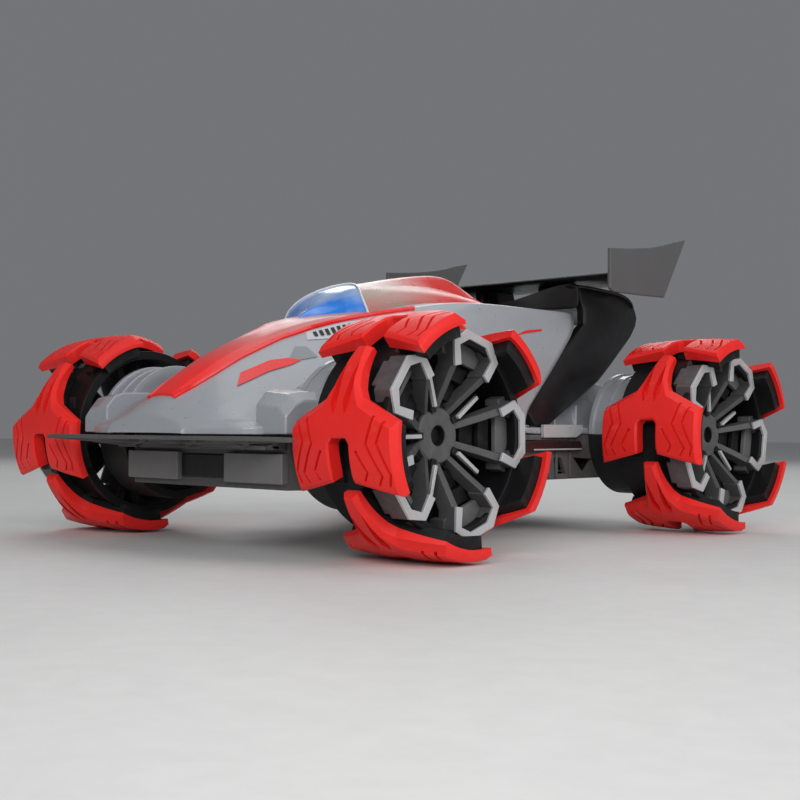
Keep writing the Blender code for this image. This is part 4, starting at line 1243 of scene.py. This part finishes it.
def add_bumper():
    """A thin swept truss: front blade, back bar and crossed braces that drop towards the tray."""
    shape = Shape()
    rail(shape, [(0, -167.3, 51.4), (30, -166.4, 51.4), (62, -163.6, 51.4), (82, -161.4, 51.3),
                 (89.6, -160.4, 51.0)], 3.6, 1.9, 0.3)
    rail(shape, [(0, -157.6, 49.2), (28, -158.6, 49.4), (60, -158.6, 49.8), (86, -158.6, 50.6)], 2.2, 1.5,
         0.3)
    rail(shape, [(0, -144.0, 47.4), (30, -143.0, 47.4), (56, -140.5, 47.4)], 4.0, 2.0)
    rail(shape, [(2, -165.6, 50.8), (16, -158.0, 49.6), (34, -150.0, 48.2), (54, -143.0, 47.2)], 2.4, 1.8)
    rail(shape, [(34, -164.8, 50.8), (22, -158.0, 49.6), (8, -150.0, 48.2), (0, -144.0, 47.2)], 2.4, 1.8)
    rail(shape, [(64, -162.4, 51.0), (54, -154.0, 49.2), (38, -144.0, 47.2)], 2.6, 1.8)
    shape.loft([[(0, -144.4, 46.0), (56, -141.4, 46.0), (56, -141.4, 47.6), (0, -144.4, 47.6)],
                [(0, -132.2, 45.0), (56, -132.2, 45.0), (56, -132.2, 51.2), (0, -132.2, 51.2)]])
    shape.both()
    piece("bumper_truss", shape, CHASSIS, "chassis", replaces=["front_bumper"],
          width=0.35)


# --- Stage ----------------------------------------------------------------------------------

CAMERA_AT = (0.4638, -0.4926, 0.056)
CAMERA_AZIMUTH, CAMERA_PITCH, CAMERA_ROLL = 43.45, 1.17, 0.27
CAMERA_LENS = 57.0


def add_camera():
    azimuth, pitch, roll = (math.radians(a) for a in (CAMERA_AZIMUTH, CAMERA_PITCH, CAMERA_ROLL))
    forward = Vector((-math.sin(azimuth) * math.cos(pitch), math.cos(azimuth) * math.cos(pitch),
                      math.sin(pitch)))
    right = Vector((math.cos(azimuth), math.sin(azimuth), 0.0))
    up = right.cross(forward)
    tilted_right = right * math.cos(roll) + up * math.sin(roll)
    tilted_up = up * math.cos(roll) - right * math.sin(roll)
    data = bpy.data.cameras.new("camera")
    data.lens = CAMERA_LENS
    data.sensor_width = 36.0
    data.clip_start = 0.01
    camera = bpy.data.objects.new("camera", data)
    bpy.context.scene.collection.objects.link(camera)
    turn = Matrix((tilted_right, tilted_up, -forward)).transposed().to_4x4()
    camera.matrix_world = Matrix.Translation(CAMERA_AT) @ turn
    bpy.context.scene.camera = camera


# Each light's place, target, size and watts.
LIGHTS = {
    "key": ((0.7, -0.9, 0.55), (0, 0, 0.07), (0.9, 0.6), 8.0),
    "fill": ((1.0, 0.1, 0.55), (0, 0, 0.06), (0.6, 0.9), 4.0),
    "top": ((-0.1, 0.2, 1.1), (0, 0, 0.05), (1.0, 1.0), 2.6),
    "back": ((-0.8, 0.9, 0.7), (0, 0, 0.1), (0.8, 0.6), 3.5),
}
FLOOR_HALF = 4000.0
SKY_COLOUR, SKY_STRENGTH = (0.78, 0.8, 0.84, 1), 0.22


def add_light(name, at, target, size, power):
    data = bpy.data.lights.new(name, "AREA")
    data.shape = "RECTANGLE"
    data.size, data.size_y = size
    data.energy = power
    light = bpy.data.objects.new(name, data)
    bpy.context.scene.collection.objects.link(light)
    light.location = at
    light.rotation_euler = (Vector(target) - Vector(at)).to_track_quat("-Z", "Y").to_euler()


def add_stage():
    bpy.context.scene.view_settings.view_transform = "Standard"
    shape = Shape()
    shape.add([(-FLOOR_HALF, -FLOOR_HALF, 0), (FLOOR_HALF, -FLOOR_HALF, 0), (FLOOR_HALF, FLOOR_HALF, 0),
               (-FLOOR_HALF, FLOOR_HALF, 0)], [(0, 1, 2, 3)])
    floor_material = plastic("floor_pale", (0.72, 0.72, 0.71), 0.6, variation=0.02, scale=0.1)
    floor = object_of("floor", shape, floor_material)
    world = bpy.data.worlds.new("studio")
    bpy.context.scene.world = world
    world.use_nodes = True
    sky = world.node_tree.nodes["Background"]
    sky.inputs["Color"].default_value = SKY_COLOUR
    sky.inputs["Strength"].default_value = SKY_STRENGTH
    for name, settings in LIGHTS.items():
        add_light(name, *settings)


def main():
    finish_nodes()
    add_treads()
    add_rims()
    add_body()
    add_windshield()
    add_roof()
    add_rear_cover()
    add_fairing()
    add_wing()
    add_drums()
    add_chassis()
    add_bumper()
    add_stage()
    add_camera()


main()
